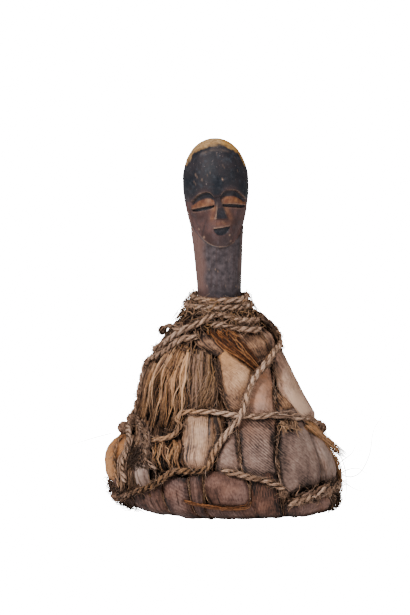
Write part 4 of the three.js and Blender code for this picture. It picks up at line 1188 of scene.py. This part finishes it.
def twisted_rope(route_points, lift=ROPE_LIFT, radius=1.0, opened=None, tone=0.45, warm=0.25, fuzz=1.0,
                 pitch=PLY_PITCH, golden=None, fade=((0, 0), (1, 0))):
    """Parts of a two-ply rope on a route. opened is the angles between which the plies lie side by side.
    golden is the shares of the rope's length between which it is made of fresher, golden fibre, and fade
    is how much lighter or darker it gets, by the share of its length."""
    route, run = smooth_route(route_points)
    centre = bundle_point(route[:, 0], route[:, 1], route[:, 2] + lift)
    centre = centre + 0.5 * MM * np.column_stack([rope_noise(run, 11, axis) for axis in (1, 2, 3)])
    out = bundle_normal(route[:, 0], route[:, 1])
    along = unit(np.gradient(centre, axis=0))
    across = unit(np.cross(along, out))
    out = np.cross(across, along)
    rate = 1 + 0.4 * rope_noise(run, 25, 4)
    apart = np.full(len(run), 1.0)
    if opened:
        inside = between(route[:, 0], opened, 2)
        rate = rate * (1 - 0.93 * inside)
        apart += 0.75 * inside
    phase = np.cumsum(rate * np.gradient(run)) / pitch * 2 * np.pi
    if opened:
        start = int(np.argmax(inside > 0.5))
        phase += np.round(phase[start] / np.pi) * np.pi - phase[start]
    uneven = 1 + 0.2 * rope_noise(run, 9, 5)
    plies = np.array([0, np.pi])[:, None] + phase
    offset = (PLY_OFFSET * radius * apart * uneven)[None, :, None] * MM
    spiral = np.cos(plies)[:, :, None] * across + np.sin(plies)[:, :, None] * out * 0.85
    paths = centre[None] + offset * spiral
    ends = ramp(run, 0, 4) * ramp(run[-1] - run, 0, 4) * 0.55 + 0.45
    lumps = np.stack([1 + 0.22 * rope_noise(run, 8, seed) for seed in (6, 7)])
    girth = PLY_RADIUS * radius * ends * lumps
    turn = np.arange(PLY_SIDES) * 2 * np.pi / PLY_SIDES
    strands = np.sin(4 * turn[None, None, :] + 2.4 * plies[:, :, None])
    lobes = 1 + 0.15 * strands + dice.normal(0, 0.07, (2, len(run), PLY_SIDES))
    spots, faces, corners, owner = strips(
        paths, np.broadcast_to(out, paths.shape), girth, girth * 0.92, PLY_SIDES, lobes[..., None]
    )
    vertex_run = np.tile(np.repeat(run, PLY_SIDES), 2)
    vertex_turn = np.tile(turn, 2 * len(run))
    patch = rope_noise(vertex_run, 18, 8)
    # Painted light and shade on the rope: each ply is lighter on the side facing out of the bundle and on its
    # raised strands, and painted dark in the groove where the two plies meet.
    inner = -np.cos(vertex_turn - np.repeat(plies.ravel(), PLY_SIDES))
    shade = tone + 0.2 * patch + 0.2 * np.sin(vertex_turn) + 0.18 * strands.ravel()
    shade = shade - 0.5 * ramp(inner, -0.25, 0.65)
    shade = shade + 0.16 * rope_noise(vertex_run + 3 * vertex_turn, 3.5, 10) + dice.normal(0, 0.1, len(shade))
    warmth = warm + 0.3 * rope_noise(vertex_run, 26, 9)
    share = vertex_run / run[-1]
    shade = shade + np.interp(share, *zip(*fade))
    if golden:
        warmth = warmth + 0.5 * between(share, golden, CHANGE_SHARE)
    parts = [((spots, faces, corners, np.arange(len(spots))), shade, np.clip(warmth, 0, 1))]
    chosen = dice.integers(2, len(run) - 2, int(run[-1] * fuzz))
    around = dice.uniform(-0.4, np.pi + 0.4, (len(chosen), 1))
    outwards = across[chosen] * np.cos(around) + out[chosen] * np.sin(around)
    roots = centre[chosen] + outwards * 2.9 * radius * MM
    parts.append(hairs(roots, unit(roots - centre[chosen]), along[chosen]))
    return parts


def knot(angle, height, lift, size, tone):
    """Parts of a tight knot: three turns of rope round each other, with frayed ends."""
    parts = []
    centre = bundle_point(np.array(angle), np.array(height), np.array(lift))
    out = bundle_normal(np.array(angle), np.array(height))
    sideways = unit(np.cross([0, 0, 1.0], out))
    upwards = np.cross(out, sideways)
    turn = np.linspace(0, 2 * np.pi, KNOT_STEPS)
    for tilt, share in KNOT_TURNS:
        axis_a = sideways * math.cos(tilt) + upwards * math.sin(tilt)
        axis_b = out * 0.75 + (upwards * math.cos(tilt) - sideways * math.sin(tilt)) * 0.55
        loop = centre + size * share * MM * (np.cos(turn)[:, None] * axis_a + np.sin(turn)[:, None] * axis_b)
        widths = np.full((1, len(turn)), size * 0.36)
        lobes = 1 + 0.12 * np.sin(4 * np.arange(KNOT_SIDES) * np.pi / 4 + 3 * turn[:, None])[None, :, :, None]
        made = strips(loop[None], np.broadcast_to(out, loop[None].shape), widths, widths, KNOT_SIDES, lobes)
        parts.append((made, np.array([tone + 0.12 * math.sin(tilt * 3)]), np.array([0.25])))
    roots = centre + dice.normal(0, size * 0.35, (KNOT_ENDS, 3)) * MM
    parts.append(hairs(roots, np.tile(out, (KNOT_ENDS, 1)), unit(dice.normal(0, 1, (KNOT_ENDS, 3))), (4, 10)))
    return parts


rope_fibre = plant_finish(
    "twisted_plant_rope", dark=colour(0.009, 0.005, 0.0035), middle=colour(0.19, 0.11, 0.077),
    light=colour(0.54, 0.38, 0.29), warm=colour(0.46, 0.22, 0.09), fibre=1.2, roughness=0.8, relief=0.5,
    specular=0.12,
)
BASE_BUNCH = [(34, 19, 2), (42, 22.5, 3), (50, 26, 4), (58, 27.5, 4), (66, 26, 3)]
CURTAIN = [(-64, 80, 2), (-58, 68, 2.5), (-54.5, 54, 3), (-53.5, 38, 2), (-56, 22, 1)]
SHOULDER_FILL = [(68, 201, 1), (80, 197, 2), (88, 187, 3), (89, 175, 3), (84, 164, 2)]
BELT_FRAY = [(33, 106), (43, 103.5), (56, 99)]
ROPE_LOOKS = {
    "rope_belt": {"opened": (34, 56), "golden": (-0.1, 0.13), "radius": 0.85, "tone": 0.6},
    "rope_diagonal": {"golden": (0.42, 0.7), "tone": 0.5, "warm": 0.3, "fade": LONG_FADE},
    "rope_base": {"radius": 1.3, "tone": 0.5, "fuzz": 2.2},
    "rope_neck": {"radius": 0.86, "tone": 0.6, "fuzz": 1.6},
    "rope_shoulder": {"tone": 0.55, "fuzz": 1.6},
    "rope_shoulder_low": {"tone": 0.55, "fuzz": 1.6},
    "rope_left_edge": {"tone": 0.5, "fuzz": 1.2, "lift": 3.9},
    "rope_net_1": {"radius": 0.6, "tone": 0.36, "fuzz": 1.6, "warm": 0.1},
    "rope_net_2": {"radius": 0.55, "tone": 0.56, "fuzz": 1.0, "warm": 0.9},
}
ROPE_BUNCHES = {
    "rope_base": [{
        "route_points": BASE_BUNCH, "count": 44, "spread": 5.0, "width": (0.3, 1.5), "lifts": (-4, 4.0),
        "tones": (-0.6, 1.1), "warmth": 0.15, "reach": (0.15, 0.5), "wander": 0.9,
    }],
    "rope_diagonal": [{
        "route_points": SHOULDER_FILL, "count": 200, "spread": 7.0, "width": (0.6, 1.6), "lifts": (-5, 5),
        "tones": (-0.3, 0.4), "warmth": 0.2,
    }, {
        "route_points": ROPES["rope_diagonal"][4:12], "count": 50, "spread": 1.9, "width": (0.25, 0.6),
        "lifts": (1.0, 4.0), "tones": (0.0, 0.75), "warmth": 0.5,
    }],
    "rope_net_1": [{
        "route_points": ROPES["rope_net_1"], "count": 34, "spread": 3.0, "width": (0.5, 1.4),
        "lifts": (-1.5, 3.2), "tones": (-0.2, 0.55), "warmth": 0.05, "reach": (0.2, 0.7), "wander": 0.8,
    }],
    "rope_net_2": [{
        "route_points": CURTAIN, "count": 50, "spread": 3.6, "width": (0.4, 1.3), "lifts": (-2.5, 2.0),
        "tones": (-0.1, 0.8), "warmth": 0.4, "reach": (0.2, 0.7), "wander": 0.8,
    }],
    "rope_belt": [{
        "route_points": BELT_FRAY, "count": 26, "spread": 2.6, "width": (0.5, 1.3), "lifts": (1, 4.5),
        "tones": (-0.1, 0.9), "warmth": 0.05,
    }],
    "rope_left_edge": [{
        "route_points": ROPES["rope_left_edge"][4:11], "count": 36, "spread": 2.4, "width": (0.3, 0.9),
        "lifts": (-1, 4.0), "tones": (-0.2, 0.7), "warmth": 0.35,
    }],
}
for name, route_points in ROPES.items():
    parts = twisted_rope(route_points, **ROPE_LOOKS.get(name, {}))
    for knot_place in KNOTS.get(name, []):
        parts += knot(*knot_place)
    for strands in ROPE_BUNCHES.get(name, []):
        parts.append(bunch(**strands))
    if name == "rope_shoulder":
        parts += twisted_rope(FREE_END, radius=0.85, tone=0.4)
    strips_piece(name + "_twisted", parts, rope_fibre, "twisted_rope", name)
for name, route_points in CORDS.items():
    parts = twisted_rope(route_points, lift=-2.4, radius=0.42, tone=0.16, fuzz=0.4, pitch=10.0)
    strips_piece(name + "_twisted", parts, rope_fibre, "twisted_rope", name)

# Messy fibre round the neck's foot and low on both sides
# Short curly ends of leaf fibre, wound and poked in where the ropes are tied round the neck.
# At the neck they are orange brown, and low on the left and right they hang in dark tufts.
CURL_STEPS = 9
NEST_TOP = 221


def curly_fibres(count, angles, heights, length, width, lifts, tones, heading=0.0, spread=0.5, curl=0.35,
                 rise=0.0, warmth=0.4):
    """Fibres that wander over the bundle from random places, at a heading in degrees up from level."""
    t = np.linspace(0, 1, CURL_STEPS)
    facing = dice.choice([0, np.pi], (count, 1)) if heading == 0 else np.zeros((count, 1))
    turn = np.radians(heading) + facing + dice.normal(0, spread, (count, 1))
    turn = turn + np.cumsum(dice.normal(0, curl, (count, CURL_STEPS)), axis=1)
    stride = dice.uniform(*length, (count, 1)) / CURL_STEPS
    height = dice.uniform(*heights, (count, 1)) + np.cumsum(np.sin(turn) * stride, axis=1)
    height = np.clip(height, LOWEST + 0.5, NEST_TOP)
    sideways = np.cumsum(np.cos(turn) * stride, axis=1)
    angle = dice.uniform(*angles, (count, 1)) + sideways / degree_length(height)
    lift = dice.uniform(*lifts, (count, 1)) + np.cumsum(dice.normal(0, 0.3, (count, CURL_STEPS)), axis=1)
    lift = lift + dice.uniform(0.2, 1, (count, 1)) * rise * t**1.4
    widths = dice.uniform(*width, (count, 1)) * taper(CURL_STEPS, 0.4, 0.5)
    made = strips(bundle_point(angle, height, lift), bundle_normal(angle, height), widths, widths * 0.7)
    return made, dice.uniform(*tones, count), np.clip(warmth + dice.normal(0, 0.3, count), 0, 1)


nest = [
    curly_fibres(
        210, angles=(-180, 180), heights=(208, 219), length=(10, 24), width=(0.3, 0.7), heading=0,
        spread=0.3, curl=0.2, lifts=(-3.0, 1.6), rise=0.0, tones=(0.0, 0.7), warmth=0.7,
    ),
    curly_fibres(
        300, angles=(-180, 180), heights=(190, 212), length=(12, 30), width=(0.3, 0.9), lifts=(-5.5, 1.0),
        tones=(-0.3, 0.5), warmth=0.5,
    ),
    curly_fibres(
        90, angles=(-120, 110), heights=(203, 219), length=(9, 24), width=(0.25, 0.6), heading=0,
        spread=0.5, curl=0.4, lifts=(1.5, 6.0), rise=0.0, tones=(0.0, 0.7), warmth=0.8,
    ),
    curly_fibres(
        60, angles=(-80, 80), heights=(192, 206), length=(8, 20), width=(0.25, 0.6), heading=0, spread=0.7,
        curl=0.4, lifts=(1.0, 5.0), rise=0.0, tones=(-0.1, 0.6), warmth=0.6,
    ),
    curly_fibres(
        120, angles=(-110, -20), heights=(150, 195), length=(12, 30), width=(0.25, 0.6), heading=-60,
        spread=0.5, curl=0.2, lifts=(-3.5, 2.5), rise=1.0, tones=(0.0, 0.7),
    ),
]
strips_piece("neck_foot_fibres", nest, loose_fibre, "raw_fibre")
tufts = [
    curly_fibres(
        150, angles=(-84, -52), heights=(6, 34), length=(8, 20), width=(0.3, 0.7), heading=-100, spread=0.6,
        curl=0.3, lifts=(-2, 3), rise=6.0, tones=(-0.2, 0.25), warmth=0.1,
    ),
    curly_fibres(
        170, angles=(-106, -72), heights=(6, 26), length=(8, 18), width=(0.3, 0.7), heading=-90, spread=0.7,
        curl=0.3, lifts=(-2, 3), rise=10.0, tones=(-0.3, 0.25), warmth=0.1,
    ),
    curly_fibres(
        120, angles=(-53, -42), heights=(54, 76), length=(6, 15), width=(0.35, 0.8), heading=-80,
        spread=0.9, curl=0.5, lifts=(-2, 4), rise=2.0, tones=(-0.35, 0.1), warmth=0.05,
    ),
    curly_fibres(
        90, angles=(56, 84), heights=(2, 16), length=(6, 18), width=(0.3, 0.8), heading=-30, spread=0.6,
        curl=0.3, lifts=(1, 7), rise=3.0, tones=(-0.2, 0.6), warmth=0.4,
    ),
    # These near-black fibres fill the hollow under the base rope's knot: their darkness is painted shade of
    # the hollow.
    curly_fibres(
        70, angles=(56, 67), heights=(7, 17), length=(5, 12), width=(0.5, 1.1), heading=0, spread=0.9,
        curl=0.5, lifts=(1, 5.5), rise=0.5, tones=(-0.6, -0.3), warmth=0.0,
    ),
    curly_fibres(
        60, angles=(36, 48), heights=(93, 101), length=(6, 12), width=(0.3, 0.8), heading=-95, spread=0.4,
        curl=0.3, lifts=(0, 3), rise=2.5, tones=(0.2, 0.85), warmth=0.7,
    ),
    curly_fibres(
        90, angles=(30, 72), heights=(8, 30), length=(6, 16), width=(0.25, 0.6), heading=0, spread=0.7,
        curl=0.4, lifts=(0, 6), rise=3.0, tones=(-0.2, 0.6), warmth=0.3,
    ),
    curly_fibres(
        40, angles=(60, 70), heights=(17, 30), length=(8, 16), width=(0.3, 0.7), heading=90, spread=0.5,
        curl=0.3, lifts=(0, 5), rise=2.0, tones=(-0.3, 0.1), warmth=0.0,
    ),
    curly_fibres(
        70, angles=(57, 74), heights=(1, 9), length=(6, 14), width=(0.4, 0.9), heading=0, spread=0.5,
        curl=0.3, lifts=(2, 8), rise=1.0, tones=(-0.3, 0.2), warmth=0.3,
    ),
    curly_fibres(
        50, angles=(-71, -61), heights=(3, 12), length=(6, 12), width=(0.35, 0.8), heading=-90, spread=0.5,
        curl=0.4, lifts=(1, 4), rise=12.0, tones=(-0.5, -0.1), warmth=0.0,
    ),
]
strips_piece("ragged_tufts", tufts, loose_fibre, "raw_fibre")

# Hanging fringe
# Raffia-like fringe on the left: leaf torn lengthwise into strips and fine fibres, hung in tiers.
# Its top is caught under the shoulder rope, its lower ends are ragged, and the leaf beside it is
# fanned out into strips.
FRINGES = {
    "fringe_upper_left": {
        "stations": [(176, -48, -26), (152, -56, -25), (122, -60, -25), (90, -54, -30)],
        "count": 140, "locks": 14, "low": 0.0, "light": 0.1,
    },
    "fringe_lower_left": {
        "stations": [(82, -45, -25), (68, -39, -22), (52, -33, -19)],
        "count": 44, "locks": 14, "low": 0.0, "light": 0.04,
    },
    "fringe_side_left": {
        "stations": [(154, -76, -55), (124, -79, -57), (94, -79, -58)],
        "count": 60, "locks": 7, "low": -2.0, "light": 0.0,
    },
}
FRINGE_HOLLOWS = [
    (-51, 127, 3.8, 15), (-40, 152, 2.0, 9), (-57, 104, 2.4, 9), (-36, 108, 2.0, 9), (-32, 132, 1.6, 12),
    (-66, 122, 2.4, 14),
]
FANNED_GROUPS = [
    {
        "stations": [(172, -27, -15), (141, -24, -13), (109, -26, -12.5)], "count": 13,
        "width": (1.2, 2.8), "lifts": (-3, 1), "tones": (0.0, 0.55), "warmth": 0.0,
    },
    {
        "stations": [(168, -14, -6), (148, -14, -4), (113, -25, -9)], "count": 10,
        "width": (0.8, 1.8), "lifts": (-4, 0.5), "tones": (-0.3, 0.4), "warmth": 0.3,
    },
    {
        "stations": [(152, -8, 0), (130, -14, -3), (112, -22, -8)], "count": 18,
        "width": (0.5, 1.4), "lifts": (-3, 2), "tones": (-0.1, 0.65), "warmth": 0.4,
    },
    {
        "stations": [(164, -7, 1), (150, -5, 1), (130, -1, 3)], "count": 16,
        "width": (0.4, 1.2), "lifts": (-6, -2), "tones": (-0.4, 0.2), "warmth": 0.3,
    },
]


def fringe_layers(stations, count, locks, low, light):
    """One tier: a dark layer under broad strips and fine fibres, its darkness painted shade beneath them. low
    is how far out it all lies.
    """
    under = hanging_strips(
        stations, count * 2 // 3, width=(1.0, 2.6), lifts=(low - 8, low - 3), locks=locks, meeting=0.3,
        ends=0.15, starts=0.05, wander=1.2, tones=(-0.5, 0.15), warmth=0.3, flatness=0.25,
        hollows=FRINGE_HOLLOWS,
    )
    broad = hanging_strips(
        stations, count // 2, width=(0.6, 1.8), lifts=(low - 3, low + 2.4), locks=locks, meeting=0.4,
        ends=0.3, starts=0.2, wander=1.2, tones=(light - 0.5, light + 1.0), warmth=0.35, flatness=0.25,
        hollows=FRINGE_HOLLOWS,
    )
    fine = hanging_strips(
        stations, count * 5 // 4, width=(0.16, 0.4), lifts=(low - 4, low + 2.8), locks=locks, meeting=0.2,
        ends=0.5, starts=0.4, wander=1.2, tones=(light - 0.5, light + 1.05), warmth=0.4,
        hollows=FRINGE_HOLLOWS,
    )
    return [under, broad, fine]
fringe_fibre = plant_finish(
    "torn_leaf_fringe", dark=colour(0.006, 0.003, 0.002), middle=colour(0.16, 0.074, 0.041),
    light=colour(0.62, 0.36, 0.2), warm=colour(0.56, 0.245, 0.08), fibre=2.2, relief=0.3,
)
for name, tier in FRINGES.items():
    strips_piece(name + "_strips", fringe_layers(**tier), fringe_fibre, "raw_fibre", name)
fanned = [
    hanging_strips(locks=0, meeting=0, ends=0.1, starts=0.1, wander=0.5, flatness=0.25, **group)
    for group in FANNED_GROUPS
]
fanned += [
    hanging_strips(
        group["stations"], group["count"] * 4, width=(0.16, 0.34),
        lifts=(group["lifts"][0] + 1, group["lifts"][1] + 2), locks=0, meeting=0, ends=0.5, starts=0.5,
        wander=0.9, tones=group["tones"], warmth=0.5,
    )
    for group in FANNED_GROUPS
]
strips_piece("fanned_leaf_strips", fanned, loose_fibre, "raw_fibre")

# Orange fibres on the shoulder
# A fan of fresh, bright fibres from a young leaf, caught under the neck ropes and the long diagonal.
# They lie over the tan leaf and part a little towards their lower end.
FAN_STATIONS = [(189, -13, 16), (174, 4.3, 24), (160.5, 21.5, 31), (146, 33.5, 37)]
FAN_SHADOW = [(12, 190, -1), (25, 176, -1), (33, 162, -1), (37, 150, -2)]
orange_fibre = plant_finish(
    "orange_leaf_fibre", dark=colour(0.008, 0.003, 0.0015), middle=colour(0.12, 0.04, 0.014),
    light=colour(0.54, 0.26, 0.11), warm=colour(0.42, 0.13, 0.03), fibre=2.5, roughness=0.55, relief=0.25,
)
fan = [
    hanging_strips(
        FAN_STATIONS, 50, width=(0.6, 1.2), lifts=(-3.0, -0.5), locks=10, meeting=0.1, ends=0.15,
        starts=0.04, wander=0.4, tones=(-0.5, 0.1), warmth=0.2,
    ),
    hanging_strips(
        FAN_STATIONS, 30, width=(0.2, 0.55), lifts=(-1.0, 2.0), locks=12, meeting=0.1, ends=0.2, starts=0.1,
        wander=0.5, tones=(-0.5, 0.75), warmth=0.5,
    ),
    hanging_strips(
        FAN_STATIONS, 80, width=(0.16, 0.4), lifts=(-1.0, 3.0), locks=14, meeting=0.0, ends=0.35,
        starts=0.25, wander=0.9, tones=(-0.5, 0.95), warmth=0.4,
    ),
    hanging_strips(
        [(192, -14, 14), (180, -4, 24)], 60, width=(0.16, 0.34), lifts=(-1, 2.5), locks=0, meeting=0,
        ends=0.7, starts=0.3, wander=0.9, tones=(0.0, 0.9), warmth=0.5,
    ),
    bunch(FAN_SHADOW, 50, spread=3.6, width=(0.2, 0.6), lifts=(-2.5, 1.0), tones=(-0.5, 0.4), warmth=0.3),
]
strips_piece("orange_fibre_fan", fan, orange_fibre, "raw_fibre", "orange_fibres")
OVAL_LIP = [(-20, 24), (-11, 18.5), (-1, 15.5), (6, 15.3), (11, 17), (13.5, 25)]
lip = bunch(OVAL_LIP, 34, spread=1.0, width=(0.25, 0.7), lifts=(0, 3), tones=(-0.2, 0.7), warmth=0.3)
strips_piece("torn_fold_lip", [lip], orange_fibre, "raw_fibre")

# Torn strips and loose hairs
# Where the leaves at the right edge have split, orange strips and long hairs stand off the bundle.
# One long hair stands off the left side, and shorter ones round the right edge.
TORN_LEAF = [(58, 95, 0), (69, 82, 1), (79, 70, 3), (87, 58, 8), (91, 49, 14)]
TORN_EDGE = [(72, 72, 0), (82, 54, 1), (86, 38, 3), (85, 24, 4), (80, 8, 4)]
LONG_HAIR_STEPS = 30
LEFT_HAIR = [(-117, -6, 74), (-132, -8, 70.5), (-150, -8, 65), (-166, -8, 60.5)]
RIGHT_HAIRS = [
    [(118, 4, 38), (131.5, 3, 26), (146, 2, 30), (156, 0, 50), (160, -2, 76), (169, -2, 92)],
    [(119, 0, 62), (129, -4, 40), (131.5, -6, 20), (131, -6, 3)],
    [(118, 0, 24), (130, -2, 33), (143, -3, 36), (152, -4, 31)],
    [(118, 0, 30), (128, -2, 22), (140, -3, 14), (148, -4, 12)],
    [(117, 0, 34), (127, -3, 44), (137, -3, 52), (141, -3, 60)],
]


def long_hair(points, radius=0.4):
    """One long hair as a fine tube through given places."""
    spots = np.array(points, float)
    keys = np.arange(len(spots))
    t = np.linspace(0, len(spots) - 1, LONG_HAIR_STEPS)
    curve = np.column_stack([read_table(list(zip(keys, column)), t) for column in spots.T]) * MM
    widths = np.full((1, LONG_HAIR_STEPS), radius) * taper(LONG_HAIR_STEPS, 0.5, 0.3)
    out = np.broadcast_to(np.array([0, -1.0, 0.2]), (1, LONG_HAIR_STEPS, 3))
    return strips(curve[None], out, widths, widths), np.array([0.25]), np.array([0.2])


torn = [
    bunch(
        TORN_LEAF, 56, spread=6.5, width=(0.4, 1.2), lifts=(-2.5, 1.5), tones=(-0.3, 1.1), warmth=0.7,
        reach=(0.4, 0.9), wander=0.5,
    ),
    bunch(
        TORN_LEAF, 60, spread=7.0, width=(0.2, 0.45), lifts=(-1, 3), tones=(0.0, 1.2), warmth=0.5,
        reach=(0.3, 1.0), wander=0.6,
    ),
    bunch(
        TORN_EDGE, 54, spread=4.6, width=(0.4, 1.5), lifts=(-4, 1), tones=(0.0, 0.9), warmth=0.6,
        reach=(0.2, 0.7), wander=0.5,
    ),
    bunch(
        TORN_EDGE, 50, spread=5.0, width=(0.16, 0.4), lifts=(-1, 3), tones=(0.0, 1.0), warmth=0.6,
        reach=(0.2, 0.9), wander=0.9,
    ),
]
torn += [long_hair(points) for points in RIGHT_HAIRS]
torn.append(curly_fibres(
    60, angles=(84, 98), heights=(18, 66), length=(12, 30), width=(0.16, 0.3), heading=-10, spread=0.9,
    curl=0.3, lifts=(0, 5), rise=14.0, tones=(0.1, 0.6), warmth=0.3,
))
strips_piece("frayed_strips_and_hairs", torn, fringe_fibre, "raw_fibre", "frayed_strips_right")
strips_piece("left_hair", [long_hair(LEFT_HAIR, 0.3)], rope_fibre, "raw_fibre", "hair_left")

# Floor, light and camera
# A plain pale floor and soft studio light, with the camera at the photograph's height and distance.
CAMERA_TARGET = Vector((-0.0179, 0, 0.2073))
CAMERA_DISTANCE = 3.0
CAMERA_ELEVATION = math.radians(8.2)
FOCAL_PIXELS = 2857.14
IMAGE_HEIGHT = 615
SENSOR = 36.0
FLOOR_SIZE = 12
LIGHT_TARGET = Vector((0, 0, 0.15))
WHITE_GLOW = 20.0
ROOM_LIGHT = 0.2


def add_light(name, place, size, power):
    data = bpy.data.lights.new(name, "AREA")
    data.shape = "DISK"
    data.size = size
    data.energy = power
    lamp = bpy.data.objects.new(name, data)
    bpy.context.scene.collection.objects.link(lamp)
    lamp.location = place
    lamp.rotation_euler = (lamp.location - LIGHT_TARGET).to_track_quat("Z", "Y").to_euler()


bpy.ops.object.select_all(action="DESELECT")
bpy.ops.mesh.primitive_plane_add(size=FLOOR_SIZE)
floor = bpy.context.object
floor.name = "studio_floor"
floor_paint, tree, shader = new_finish("white_floor", 0.9, 0.1)
shader.inputs["Base Color"].default_value = colour(0.85, 0.85, 0.85)
seen = add_node(tree, "ShaderNodeLightPath").outputs["Is Camera Ray"]
shader.inputs["Emission Color"].default_value = colour(1, 1, 1)
tree.links.new(remap(tree, seen, 0, 1, 0, WHITE_GLOW), shader.inputs["Emission Strength"])
floor.data.materials.append(floor_paint)

world = bpy.data.worlds.new("studio")
bpy.context.scene.world = world
world.use_nodes = True
sky = world.node_tree.nodes["Background"]
sky.inputs["Color"].default_value = colour(1, 1, 1)
seen = add_node(world.node_tree, "ShaderNodeLightPath").outputs["Is Camera Ray"]
world.node_tree.links.new(remap(world.node_tree, seen, 0, 1, ROOM_LIGHT, WHITE_GLOW), sky.inputs["Strength"])
add_light("key_light", (-1.4, -1.9, 2.0), size=0.6, power=110)
add_light("fill_light", (1.9, -1.9, 0.9), size=1.2, power=24)
add_light("top_light", (0.1, 0.2, 2.4), size=1.0, power=16)

lens = bpy.data.cameras.new("camera")
camera = bpy.data.objects.new("camera", lens)
bpy.context.scene.collection.objects.link(camera)
away = Vector((0, -math.cos(CAMERA_ELEVATION), math.sin(CAMERA_ELEVATION)))
camera.location = CAMERA_TARGET + CAMERA_DISTANCE * away
camera.rotation_euler = (math.pi / 2 - CAMERA_ELEVATION, 0, 0)
lens.sensor_width = SENSOR
lens.lens = FOCAL_PIXELS * SENSOR / IMAGE_HEIGHT
lens.clip_end = 50
bpy.context.scene.camera = camera
